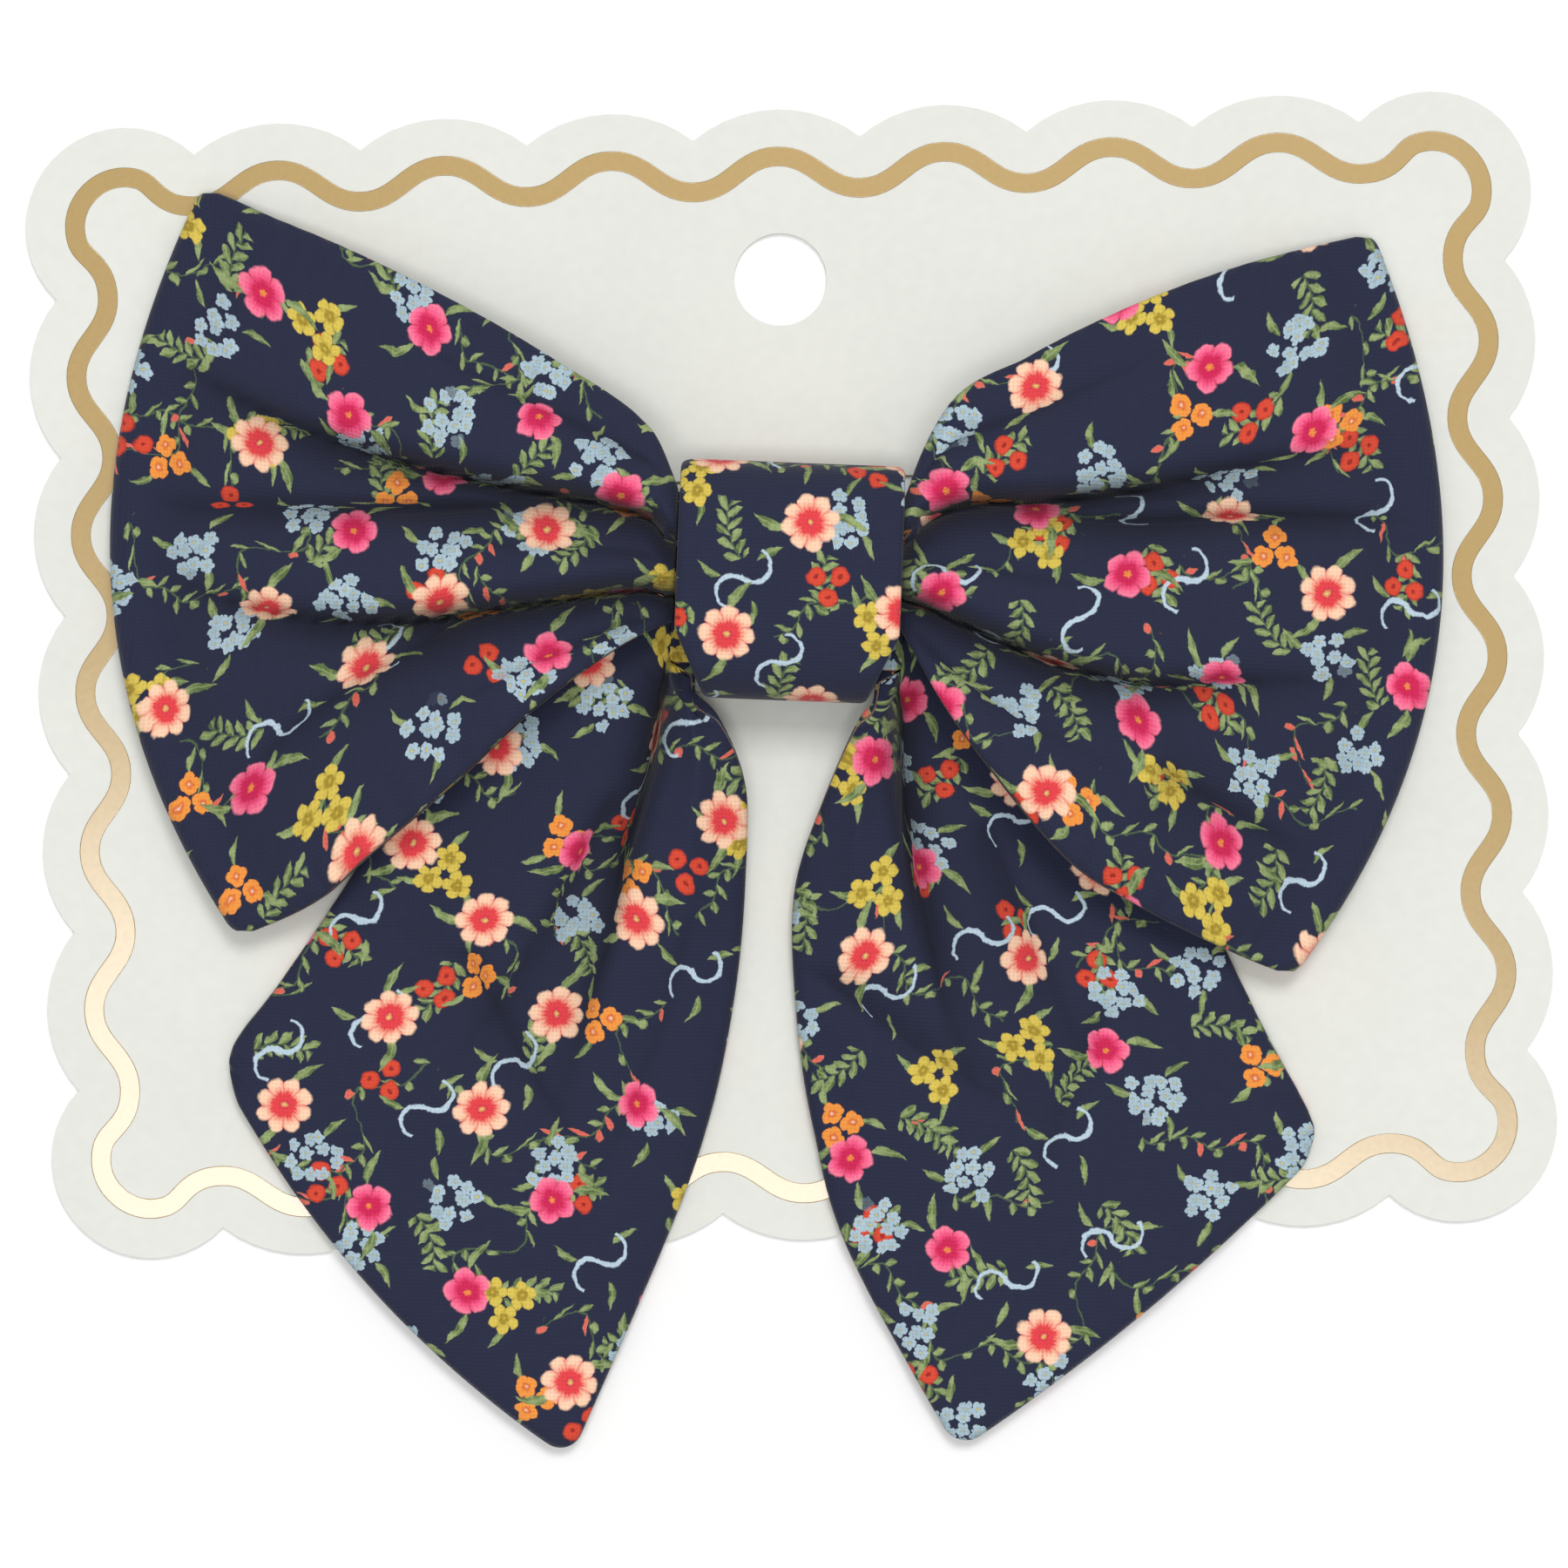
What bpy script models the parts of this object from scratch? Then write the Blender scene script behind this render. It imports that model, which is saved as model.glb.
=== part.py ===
"""Slide-on pet bow tie lying on the scalloped display card that holds it.

Metres, +Z up. The card lies flat, and the bow lies on it with its knot towards +Z. +X runs along
the bow and +Y from the tails to the hang hole. The bow's own pieces are modelled round the knot's
centre, upright, and one empty then places and turns them on the card.
"""
import math
from collections import namedtuple

import bmesh
import bpy
import numpy as np

# Card
CARD_WIDTH = 0.1295
CARD_HEIGHT = 0.0972
CARD_THICKNESS = 0.0008
CARD_CORNER_RADIUS = 0.00855
SCALLOPS_ALONG_WIDTH = 7
SCALLOPS_ALONG_HEIGHT = 5
HANG_HOLE_DIAMETER = 0.008
HANG_HOLE_FROM_TOP = 0.0146

# Bow
KNOT_ABOVE_CARD_CENTRE = 0.0078
BOW_TURN = math.radians(-3.8)
KNOT_WIDTH = 0.019
KNOT_HEIGHT = 0.0202
KNOT_DEPTH = 0.0133
KNOT_FOOT_WIDTH = 0.0142
KNOT_TAPERS_BELOW = 0.0044
LEFT_LOOP_REACH = 0.058
RIGHT_LOOP_REACH = 0.0557
LOOP_HALF_HEIGHT = 0.0315
LOOP_BULGE = 0.0091
LOOP_AIR = 0.0068
TAIL_SPREAD = 0.047
TAIL_LENGTH = 0.075
TAIL_BULGE = 0.0027
TAIL_LOFT = 0.0032
PLEAT_DEPTH = 0.0042
PLEAT_WIDTH = 0.003

# Cloth and elastic
BAND_CLOTH = 0.0012
LOOP_CLOTH = 0.0012
TAIL_CLOTH = 0.0015
CREASE_RADIUS = 0.0011
ELASTIC_THICKNESS = 0.0009
ELASTIC_WIDTH = 0.006
COLLAR_WIDTH = 0.0158

# Clearances
GAP = 0.0003
WELD = 0.000001
LAYER_GAP = 0.0009
SIDE_CLEARANCE = 0.001
BACK_INSET = 0.0002

# Sizes and shares that shape the hidden stretches
NECK_SHARE = 0.80
TAIL_NECK_TOP_SHARE = 0.11
LOOP_NECK_LOW_SHARE = 0.42
BRIDGE_RAMP = 0.005
BRIDGE_ROOT = 0.001
BRIDGE_INSET = 0.00003
BAND_ROUNDNESS = 3.0
ELASTIC_ROUNDNESS = 0.8
NECK_RIDGE_POWER = 4

# Shares that shape the cloth: where a fold has risen and where it starts to fade, how pointed it
# is, how full a loop is across, and where its front panel starts to close on its back panel
FOLD_RISEN = 0.15
FOLD_FADES = 0.30
FOLD_POINT = 1.5
LOOP_FULLNESS = 0.8
LOOP_BULGE_SKEW = 0.1
LOOP_CLOSES = 0.78
TAIL_LOFT_SKEW = 1.6

# Facets
SCALLOP_STEPS = 10
CORNER_STEPS = 20
BRIDGE_RAMP_STEPS = 4
HOLE_STEPS = 36
LOOP_ROWS = 14
CREASE_STEPS = 4
BACK_ROWS = 8
LOOP_COLUMNS = 22
TAIL_ROWS = 15
TAIL_COLUMNS = 14
BAND_STEPS = 40
BAND_COLUMNS = 4
ELASTIC_CORNER_STEPS = 3

# Colours and roughness
BOARD = (0.80, 0.81, 0.77)
NAVY = (0.022, 0.026, 0.055)
DARK_NAVY = (0.012, 0.014, 0.03)
BOARD_ROUGHNESS = 0.55
CLOTH_ROUGHNESS = 0.8

# Heights of the layers above the surface that the card lies on, worked out from the bottom up
BRIDGE_RISE = BACK_INSET + ELASTIC_THICKNESS + GAP
BRIDGE_TOP = BRIDGE_RISE + CARD_THICKNESS
BAND_BOTTOM = BRIDGE_TOP + GAP
ELASTIC_TOP = BRIDGE_TOP + GAP + ELASTIC_THICKNESS
CLOTH_REST = CARD_THICKNESS + GAP
TAIL_NECK = max(BAND_BOTTOM + BAND_CLOTH, ELASTIC_TOP) + GAP
LOOP_NECK = TAIL_NECK + TAIL_CLOTH + LAYER_GAP

# Places shared by several pieces
KNOT_SIDE = KNOT_WIDTH / 2
KNOT_MOUTH = KNOT_SIDE + GAP
KNOT_INNER_HALF = KNOT_HEIGHT / 2 - BAND_CLOTH
NECK_HALF = NECK_SHARE * KNOT_INNER_HALF
NECK_AIR = BAND_BOTTOM + KNOT_DEPTH - BAND_CLOTH - GAP - LOOP_NECK - 2 * LOOP_CLOTH
TURNED_KNOT_SIDE = KNOT_SIDE * math.cos(BOW_TURN) + KNOT_HEIGHT / 2 * abs(math.sin(BOW_TURN))
ELASTIC_X = TURNED_KNOT_SIDE + SIDE_CLEARANCE + ELASTIC_WIDTH / 2
BRIDGE_HALF_HEIGHT = COLLAR_WIDTH / 2 - GAP
SLIT_OUTER = COLLAR_WIDTH / 2 + ELASTIC_THICKNESS + GAP
BRIDGE_FLAT_HALF = ELASTIC_X + ELASTIC_WIDTH / 2 + SIDE_CLEARANCE
WINDOW_HALF = BRIDGE_FLAT_HALF + BRIDGE_RAMP

# A loop's stations, from the knot's side to the folded outer edge. All are shares: top and low are
# the ends of the station at the loop's two open edges, out goes from the knot's side to the loop's
# reach, up goes from the neck to the loop's half height, seat goes from the card to the neck, and
# air is the clear space between the front and back panels.
LoopRow = namedtuple(
    "LoopRow", "along top_out top_up low_out low_up bulge top_seat low_seat edge_air mid_air"
)
LEFT_LOOP = (
    LoopRow(0.00, 0.00, 0.00, 0.00, 0.00, 0.00, 1.00, 1.00, 0.50, 0.92),
    LoopRow(0.05, 0.04, 0.18, 0.04, 0.03, 0.02, 0.96, 0.99, 0.58, 0.95),
    LoopRow(0.10, 0.07, 0.25, 0.08, 0.07, 0.08, 0.90, 0.97, 0.66, 1.00),
    LoopRow(0.25, 0.23, 0.45, 0.23, 0.27, 0.30, 0.62, 0.86, 0.78, 1.00),
    LoopRow(0.42, 0.39, 0.62, 0.37, 0.51, 0.50, 0.36, 0.72, 0.76, 0.92),
    LoopRow(0.62, 0.59, 0.80, 0.53, 0.76, 0.70, 0.16, 0.58, 0.60, 0.74),
    LoopRow(0.78, 0.72, 0.90, 0.60, 0.91, 0.84, 0.06, 0.48, 0.40, 0.52),
    LoopRow(1.00, 0.87, 1.00, 0.755, 1.00, 1.00, 0.00, 0.36, 0.15, 0.15),
)
RIGHT_LOOP = (
    LoopRow(0.00, 0.00, 0.00, 0.00, 0.00, 0.00, 1.00, 1.00, 0.50, 0.92),
    LoopRow(0.05, 0.03, 0.18, 0.03, 0.08, 0.02, 0.96, 1.08, 0.58, 0.95),
    LoopRow(0.10, 0.065, 0.32, 0.065, 0.18, 0.08, 0.90, 1.08, 0.66, 1.00),
    LoopRow(0.25, 0.216, 0.52, 0.19, 0.445, 0.30, 0.62, 0.88, 0.78, 1.00),
    LoopRow(0.42, 0.38, 0.69, 0.32, 0.675, 0.50, 0.36, 0.76, 0.76, 0.92),
    LoopRow(0.62, 0.56, 0.84, 0.455, 0.81, 0.70, 0.16, 0.62, 0.60, 0.74),
    LoopRow(0.78, 0.69, 0.925, 0.595, 0.915, 0.84, 0.06, 0.50, 0.40, 0.52),
    LoopRow(1.00, 0.853, 1.00, 0.755, 1.00, 1.00, 0.00, 0.36, 0.15, 0.15),
)

# A tail's stations, from the knot's side to the slanting end. All are shares: out goes from the
# knot's side to the tail's spread and down from the knot's lower edge to the tail's length, both
# negative behind those places, lift goes from the card to the neck, and loft is of TAIL_LOFT.
TailRow = namedtuple(
    "TailRow", "along outer_out outer_down inner_out inner_down bulge outer_lift inner_lift loft"
)
LEFT_TAIL = (
    TailRow(0.05, 0.048, -0.148, -0.020, -0.028, 0.00, 1.00, 1.70, 0.00),
    TailRow(0.10, 0.093, -0.122, -0.040, 0.006, 0.00, 1.00, 1.60, 0.00),
    TailRow(0.20, 0.222, -0.082, -0.118, 0.036, 0.00, 0.95, 1.60, 0.20),
    TailRow(0.32, 0.387, -0.011, -0.181, 0.115, 0.10, 0.52, 1.15, 0.60),
    TailRow(0.45, 0.560, 0.091, -0.190, 0.235, 0.20, 0.28, 0.55, 1.00),
    TailRow(0.60, 0.720, 0.254, -0.176, 0.388, 0.30, 0.10, 0.20, 0.85),
    TailRow(0.75, 0.877, 0.399, -0.125, 0.561, 0.40, 0.02, 0.05, 0.65),
    TailRow(0.88, 0.973, 0.479, -0.035, 0.723, 0.60, 0.00, 0.00, 0.40),
    TailRow(1.00, 0.989, 0.533, 0.163, 1.000, 1.00, 0.00, 0.00, 0.15),
)
RIGHT_TAIL = (
    TailRow(0.05, 0.048, -0.148, -0.020, -0.028, 0.00, 1.00, 1.70, 0.00),
    TailRow(0.10, 0.093, -0.122, -0.040, 0.005, 0.00, 1.00, 1.60, 0.00),
    TailRow(0.20, 0.222, -0.082, -0.098, 0.036, 0.00, 0.97, 1.55, 0.10),
    TailRow(0.32, 0.400, 0.006, -0.165, 0.130, 0.10, 0.48, 1.10, 0.40),
    TailRow(0.45, 0.587, 0.114, -0.222, 0.242, 0.20, 0.20, 0.50, 0.75),
    TailRow(0.60, 0.747, 0.276, -0.213, 0.391, 0.20, 0.10, 0.20, 0.85),
    TailRow(0.75, 0.877, 0.414, -0.160, 0.561, 0.20, 0.02, 0.05, 0.65),
    TailRow(0.88, 0.984, 0.519, -0.061, 0.730, 0.30, 0.00, 0.00, 0.40),
    TailRow(1.00, 1.005, 0.569, 0.200, 0.974, 0.40, 0.00, 0.00, 0.15),
)

# Folds in the cloth. along and across are shares of the piece, at the fold's two ends. height is a
# share of PLEAT_DEPTH, below zero for a valley, and half_width is a share of PLEAT_WIDTH.
Fold = namedtuple("Fold", "start from_across end to_across height half_width")
LEFT_LOOP_FOLDS = (
    Fold(0.00, 0.44, 0.85, 0.23, -1.00, 0.70),
    Fold(0.20, 0.43, 1.00, 0.42, -0.30, 0.60),
    Fold(0.00, 0.80, 0.72, 0.56, -1.00, 0.70),
)
RIGHT_LOOP_FOLDS = (
    Fold(0.00, 0.37, 0.68, 0.29, -1.00, 0.70),
    Fold(0.25, 0.38, 1.00, 0.38, -0.30, 0.60),
    Fold(0.00, 0.75, 0.66, 0.61, -1.00, 0.70),
)
LEFT_TAIL_FOLDS = (
    Fold(0.06, 0.62, 0.72, 0.70, -0.75, 0.60),
    Fold(0.38, 0.57, 0.78, 0.42, -0.36, 0.80),
    Fold(0.62, 0.32, 0.84, 0.82, -0.26, 1.00),
)
RIGHT_TAIL_FOLDS = (
    Fold(0.06, 0.74, 0.66, 0.65, -0.75, 0.60),
    Fold(0.40, 0.46, 0.76, 0.38, -0.30, 0.90),
    Fold(0.56, 0.96, 0.80, 0.50, -0.26, 1.00),
)


def clear_scene():
    for old in list(bpy.data.objects):
        bpy.data.objects.remove(old, do_unlink=True)


def collection(name, hidden=False):
    made = bpy.data.collections.new(name)
    bpy.context.scene.collection.children.link(made)
    made.hide_render = hidden
    return made


def material(name, colour, roughness):
    made = bpy.data.materials.new(name)
    made.use_nodes = True
    shader = made.node_tree.nodes["Principled BSDF"]
    shader.inputs["Base Color"].default_value = (*colour, 1.0)
    shader.inputs["Roughness"].default_value = roughness
    shader.inputs["Metallic"].default_value = 0.0
    return made


def empty(name, parent, location, turn=0.0):
    made = bpy.data.objects.new(name, None)
    parts.objects.link(made)
    made.parent = parent
    made.location = location
    made.rotation_euler.z = turn
    return made


def place(obj, group, parent, location=(0.0, 0.0, 0.0), finish=None):
    group.objects.link(obj)
    obj.parent = parent
    obj.location = location
    if finish:
        obj.data.materials.append(finish)
        obj.data.shade_smooth()
    return obj


def between(start, end, share):
    return start + (end - start) * share


def ease(share):
    share = np.clip(share, 0.0, 1.0)
    return share * share * (3.0 - 2.0 * share)


def through(knots, values, at):
    """A smooth curve through values at knots, read at each place in at."""
    knots, values = np.asarray(knots, float), np.asarray(values, float)
    slopes = np.gradient(values, knots)
    i = np.clip(np.searchsorted(knots, at) - 1, 0, len(knots) - 2)
    step = knots[i + 1] - knots[i]
    t = (at - knots[i]) / step
    return (
        (1 + 2 * t) * (1 - t) ** 2 * values[i]
        + t * (1 - t) ** 2 * step * slopes[i]
        + t * t * (3 - 2 * t) * values[i + 1]
        + t * t * (t - 1) * step * slopes[i + 1]
    )


def columns_at(rows, at):
    """Each named column of a table as a smooth curve, read at each place in at."""
    knots = [row.along for row in rows]
    read = {name: through(knots, [getattr(row, name) for row in rows], at) for name in rows[0]._fields}
    return type(rows[0])(**read)


def fold_relief(folds, along, across, span):
    """How far folds raise or sink the cloth. span is how wide the cloth is at each place, in metres."""
    total = 0.0
    for fold in folds:
        share = (along - fold.start) / (fold.end - fold.start)
        centre = between(fold.from_across, fold.to_across, np.clip(share, 0.0, 1.0))
        aside = np.abs(across - centre) * span / (fold.half_width * PLEAT_WIDTH)
        fade_in = ease(share / FOLD_RISEN) if fold.start > 0 else (share >= 0) * 1.0
        fade_out = ease((1.0 - share) / (1.0 - FOLD_FADES))
        shape = np.exp(-(aside**FOLD_POINT))
        total = total + fold.height * PLEAT_DEPTH * shape * fade_in * fade_out
    return total


def sheet(name, grid, thickness, ring=False):
    """A cloth wall: an open surface through a grid of points, made solid. ring closes its rows."""
    rows, columns = grid.shape[:2]
    faces = []
    for r in range(rows if ring else rows - 1):
        after = (r + 1) % rows
        for c in range(columns - 1):
            faces.append(
                (r * columns + c, r * columns + c + 1, after * columns + c + 1, after * columns + c)
            )
    mesh = bpy.data.meshes.new(name)
    mesh.from_pydata(grid.reshape(-1, 3).tolist(), [], faces)
    obj = bpy.data.objects.new(name, mesh)
    solid = obj.modifiers.new("thickness", "SOLIDIFY")
    solid.thickness = thickness
    solid.offset = 0.0
    return obj


def arc(centre, radius, start, end, steps):
    """Points on an arc, in radians, without its last point."""
    turns = [between(start, end, i / steps) for i in range(steps)]
    return [(centre[0] + radius * math.cos(a), centre[1] + radius * math.sin(a)) for a in turns]


def card_outline():
    """Corner circles joined by scallops that start and end on the circles' diagonals."""
    half_x = CARD_WIDTH / 2 - CARD_CORNER_RADIUS
    half_y = CARD_HEIGHT / 2 - CARD_CORNER_RADIUS
    cusp = CARD_CORNER_RADIUS * math.sqrt(0.5)
    sagitta = CARD_CORNER_RADIUS - cusp
    points = []
    for side in range(4):
        turn = side * math.pi / 2
        along, up = (half_x, half_y) if side % 2 == 0 else (half_y, half_x)
        count = SCALLOPS_ALONG_WIDTH if side % 2 == 0 else SCALLOPS_ALONG_HEIGHT
        half_chord = (along - cusp) / count
        radius = (half_chord**2 + sagitta**2) / (2 * sagitta)
        opening = math.asin(half_chord / radius)
        run = arc((along, up), CARD_CORNER_RADIUS, -math.pi / 4, 3 * math.pi / 4, CORNER_STEPS)
        for i in range(count):
            centre = (along - cusp - (2 * i + 1) * half_chord, up + CARD_CORNER_RADIUS - radius)
            start = math.pi / 2 - opening
            run += arc(centre, radius, start, math.pi / 2 + opening, SCALLOP_STEPS)
        points += [
            (x * math.cos(turn) - y * math.sin(turn), x * math.sin(turn) + y * math.cos(turn))
            for x, y in run
        ]
    return points


def rim_edge(edge):
    return any(len({vertex.co.z for vertex in face.verts}) > 1 for face in edge.link_faces)


def flat_plate(name, outlines, thickness):
    """A plate filled between closed outlines, its underside at z = 0, as one welded mesh."""
    flat = bpy.data.curves.new(name, "CURVE")
    flat.dimensions = "2D"
    flat.fill_mode = "BOTH"
    flat.extrude = thickness / 2
    for outline in outlines:
        spline = flat.splines.new("POLY")
        spline.points.add(len(outline) - 1)
        for point, (x, y) in zip(spline.points, outline):
            point.co = (x, y, 0.0, 1.0)
        spline.use_cyclic_u = True
    guide = bpy.data.objects.new(name + "_guide", flat)
    bpy.context.scene.collection.objects.link(guide)
    graph = bpy.context.evaluated_depsgraph_get()
    mesh = bpy.data.meshes.new_from_object(guide.evaluated_get(graph))
    bpy.data.objects.remove(guide, do_unlink=True)
    work = bmesh.new()
    work.from_mesh(mesh)
    bmesh.ops.remove_doubles(work, verts=work.verts, dist=WELD)
    bmesh.ops.translate(work, verts=work.verts, vec=(0.0, 0.0, thickness / 2))
    bmesh.ops.recalc_face_normals(work, faces=work.faces)
    # The fill leaves flat triangles between points on one line, which this turns into wide ones.
    level = [e for e in work.edges if e.verts[0].co.z == e.verts[1].co.z and not rim_edge(e)]
    bmesh.ops.beautify_fill(work, faces=work.faces, edges=level)
    work.to_mesh(mesh)
    work.free()
    mesh.name = name
    return bpy.data.objects.new(name, mesh)


def make_card(parent):
    """The card: a plate with a hang hole and a window, and an arched strip across the window."""
    hole_y = CARD_HEIGHT / 2 - HANG_HOLE_FROM_TOP
    hole = arc((0.0, hole_y), HANG_HOLE_DIAMETER / 2, 0.0, 2 * math.pi, HOLE_STEPS)
    low, high = KNOT_ABOVE_CARD_CENTRE - SLIT_OUTER, KNOT_ABOVE_CARD_CENTRE + SLIT_OUTER
    window = [(-WINDOW_HALF, low), (WINDOW_HALF, low), (WINDOW_HALF, high), (-WINDOW_HALF, high)]
    card = place(
        flat_plate("card", [card_outline(), hole, window], CARD_THICKNESS), parts, parent,
        finish=material("card board", BOARD, BOARD_ROUGHNESS),
    )
    ramp = np.linspace(BRIDGE_FLAT_HALF, WINDOW_HALF, BRIDGE_RAMP_STEPS + 1)
    ramp = np.append(ramp, WINDOW_HALF + BRIDGE_ROOT)
    stops = np.concatenate([-ramp[::-1], ramp])
    rise = BRIDGE_RISE * ease((WINDOW_HALF - np.abs(stops)) / BRIDGE_RAMP) + CARD_THICKNESS / 2
    sides = np.array([-BRIDGE_HALF_HEIGHT, BRIDGE_HALF_HEIGHT])
    grid = np.zeros((len(stops), 2, 3))
    grid[..., 0] = stops[:, None]
    grid[..., 1] = sides[None, :] + KNOT_ABOVE_CARD_CENTRE
    grid[..., 2] = rise[:, None]
    strip = place(sheet("card_strip", grid[:, ::-1], CARD_THICKNESS - 2 * BRIDGE_INSET), helpers, parent)
    strip.display_type = "WIRE"
    strip.hide_render = True
    joined = card.modifiers.new("strip", "BOOLEAN")
    joined.operation = "UNION"
    joined.object = strip
    return card


def make_elastic(name, side, parent):
    """An elastic loop round the card's strip: a flat band, closed, as wide inside as a collar."""
    half_y = COLLAR_WIDTH / 2 + ELASTIC_THICKNESS / 2
    low = BACK_INSET + ELASTIC_THICKNESS / 2
    high = ELASTIC_TOP - ELASTIC_THICKNESS / 2
    radius = (high - low) / 2 * ELASTIC_ROUNDNESS
    run = []
    for quarter, (y, z) in enumerate(
        ((half_y, high), (-half_y, high), (-half_y, low), (half_y, low))
    ):
        centre = (y - math.copysign(radius, y), z + (radius if z == low else -radius))
        start = quarter * math.pi / 2
        run += arc(centre, radius, start, start + math.pi / 2, ELASTIC_CORNER_STEPS)
        run.append((centre[0] + radius * math.cos(start + math.pi / 2),
                    centre[1] + radius * math.sin(start + math.pi / 2)))
    half_width = ELASTIC_WIDTH / 2
    grid = np.array([[(x, y, z) for x in (-half_width, half_width)] for y, z in run])
    where = (side * ELASTIC_X, KNOT_ABOVE_CARD_CENTRE, 0.0)
    return place(sheet(name, grid, ELASTIC_THICKNESS, ring=True), parts, parent, where,
                 material(name, DARK_NAVY, CLOTH_ROUGHNESS))


def make_knot_band(parent):
    """The wrapped band: a rounded oblong ring whose axis runs along the bow, narrower at its foot."""
    half_y = (KNOT_HEIGHT - BAND_CLOTH) / 2
    half_z = (KNOT_DEPTH - BAND_CLOTH) / 2
    grid = np.zeros((BAND_STEPS, BAND_COLUMNS + 1, 3))
    turns = np.linspace(0.0, 2 * math.pi, BAND_STEPS, endpoint=False)[:, None]
    power = 2.0 / BAND_ROUNDNESS
    grid[..., 1] = half_y * np.sign(np.cos(turns)) * np.abs(np.cos(turns)) ** power
    taper = np.clip((-grid[..., 1] - KNOT_TAPERS_BELOW) / (half_y - KNOT_TAPERS_BELOW), 0.0, 1.0)
    side = between(KNOT_SIDE, KNOT_FOOT_WIDTH / 2, taper)
    grid[..., 0] = side * np.linspace(-1.0, 1.0, BAND_COLUMNS + 1)[None, :]
    grid[..., 2] = half_z * np.sign(np.sin(turns)) * np.abs(np.sin(turns)) ** power
    centre = (0.0, 0.0, BAND_BOTTOM + KNOT_DEPTH / 2)
    return place(sheet("knot_band", grid, BAND_CLOTH, ring=True), parts, parent, centre,
                 material("knot cloth", NAVY, CLOTH_ROUGHNESS))


def make_loop(name, side, reach, rows, folds, parent):
    """A loop: one cloth strip from the knot out to a crease and back, open along its two edges."""
    column = np.linspace(0.0, 1.0, LOOP_COLUMNS + 1)[None, :]
    far = reach - LOOP_CLOTH / 2
    neck_low = -LOOP_NECK_LOW_SHARE * KNOT_INNER_HALF

    def plan(along):
        at = columns_at(rows, along)
        top_x = between(KNOT_MOUTH, far, at.top_out)
        low_x = between(KNOT_MOUTH, far, at.low_out)
        top_y = between(NECK_HALF, LOOP_HALF_HEIGHT, at.top_up)
        low_y = between(neck_low, -LOOP_HALF_HEIGHT, at.low_up)
        bend = 4 * column * (1 - column) * (1 + LOOP_BULGE_SKEW * (2 * column - 1))
        x = between(top_x, low_x, column) + LOOP_BULGE * at.bulge * bend
        y = between(top_y, low_y, column)
        seat = between(at.top_seat, at.low_seat, column)
        back = between(CLOTH_REST, LOOP_NECK, seat) + LOOP_CLOTH / 2
        dome = np.sin(math.pi * column) ** LOOP_FULLNESS
        air = np.where(along <= 0, NECK_AIR, LOOP_AIR) * between(at.edge_air, at.mid_air, dome)
        relief = fold_relief(folds, along, column, top_y - low_y)
        front = back + LOOP_CLOTH + np.maximum(air + relief, GAP)
        return x, y, back, front

    front_along = np.linspace(0.0, 1.0, LOOP_ROWS)[:, None]
    back_along = np.linspace(1.0, 0.0, BACK_ROWS)[:, None]
    x, y, back, front = plan(front_along)
    edge_x, edge_y, edge_z = x[-1], y[-1], back[-1] + CREASE_RADIUS
    closing = ease((front_along - LOOP_CLOSES) / (1.0 - LOOP_CLOSES))
    front = between(front, edge_z + CREASE_RADIUS, closing)
    x = x - CREASE_RADIUS * closing
    runs = [np.stack([x, y, front], -1)]
    for i in range(1, CREASE_STEPS):
        turn = math.pi / 2 - math.pi * i / CREASE_STEPS
        out = edge_x - CREASE_RADIUS * (1 - math.cos(turn))
        height = edge_z + CREASE_RADIUS * math.sin(turn)
        runs.append(np.stack([out, edge_y, height], -1)[None])
    x, y, back, _ = plan(back_along)
    x = x - CREASE_RADIUS * ease((back_along - LOOP_CLOSES) / (1.0 - LOOP_CLOSES))
    runs.append(np.stack([x, y, back], -1))
    grid = np.concatenate(runs)
    inner = grid[:1].copy(), grid[-1:].copy()
    for row in inner:
        row[..., 0] = GAP
    grid = np.concatenate([inner[0], grid, inner[1]])
    grid[..., 0] *= side
    return place(sheet(name, grid if side > 0 else grid[:, ::-1], LOOP_CLOTH), parts, parent,
                 finish=material(name + " cloth", NAVY, CLOTH_ROUGHNESS))


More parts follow.
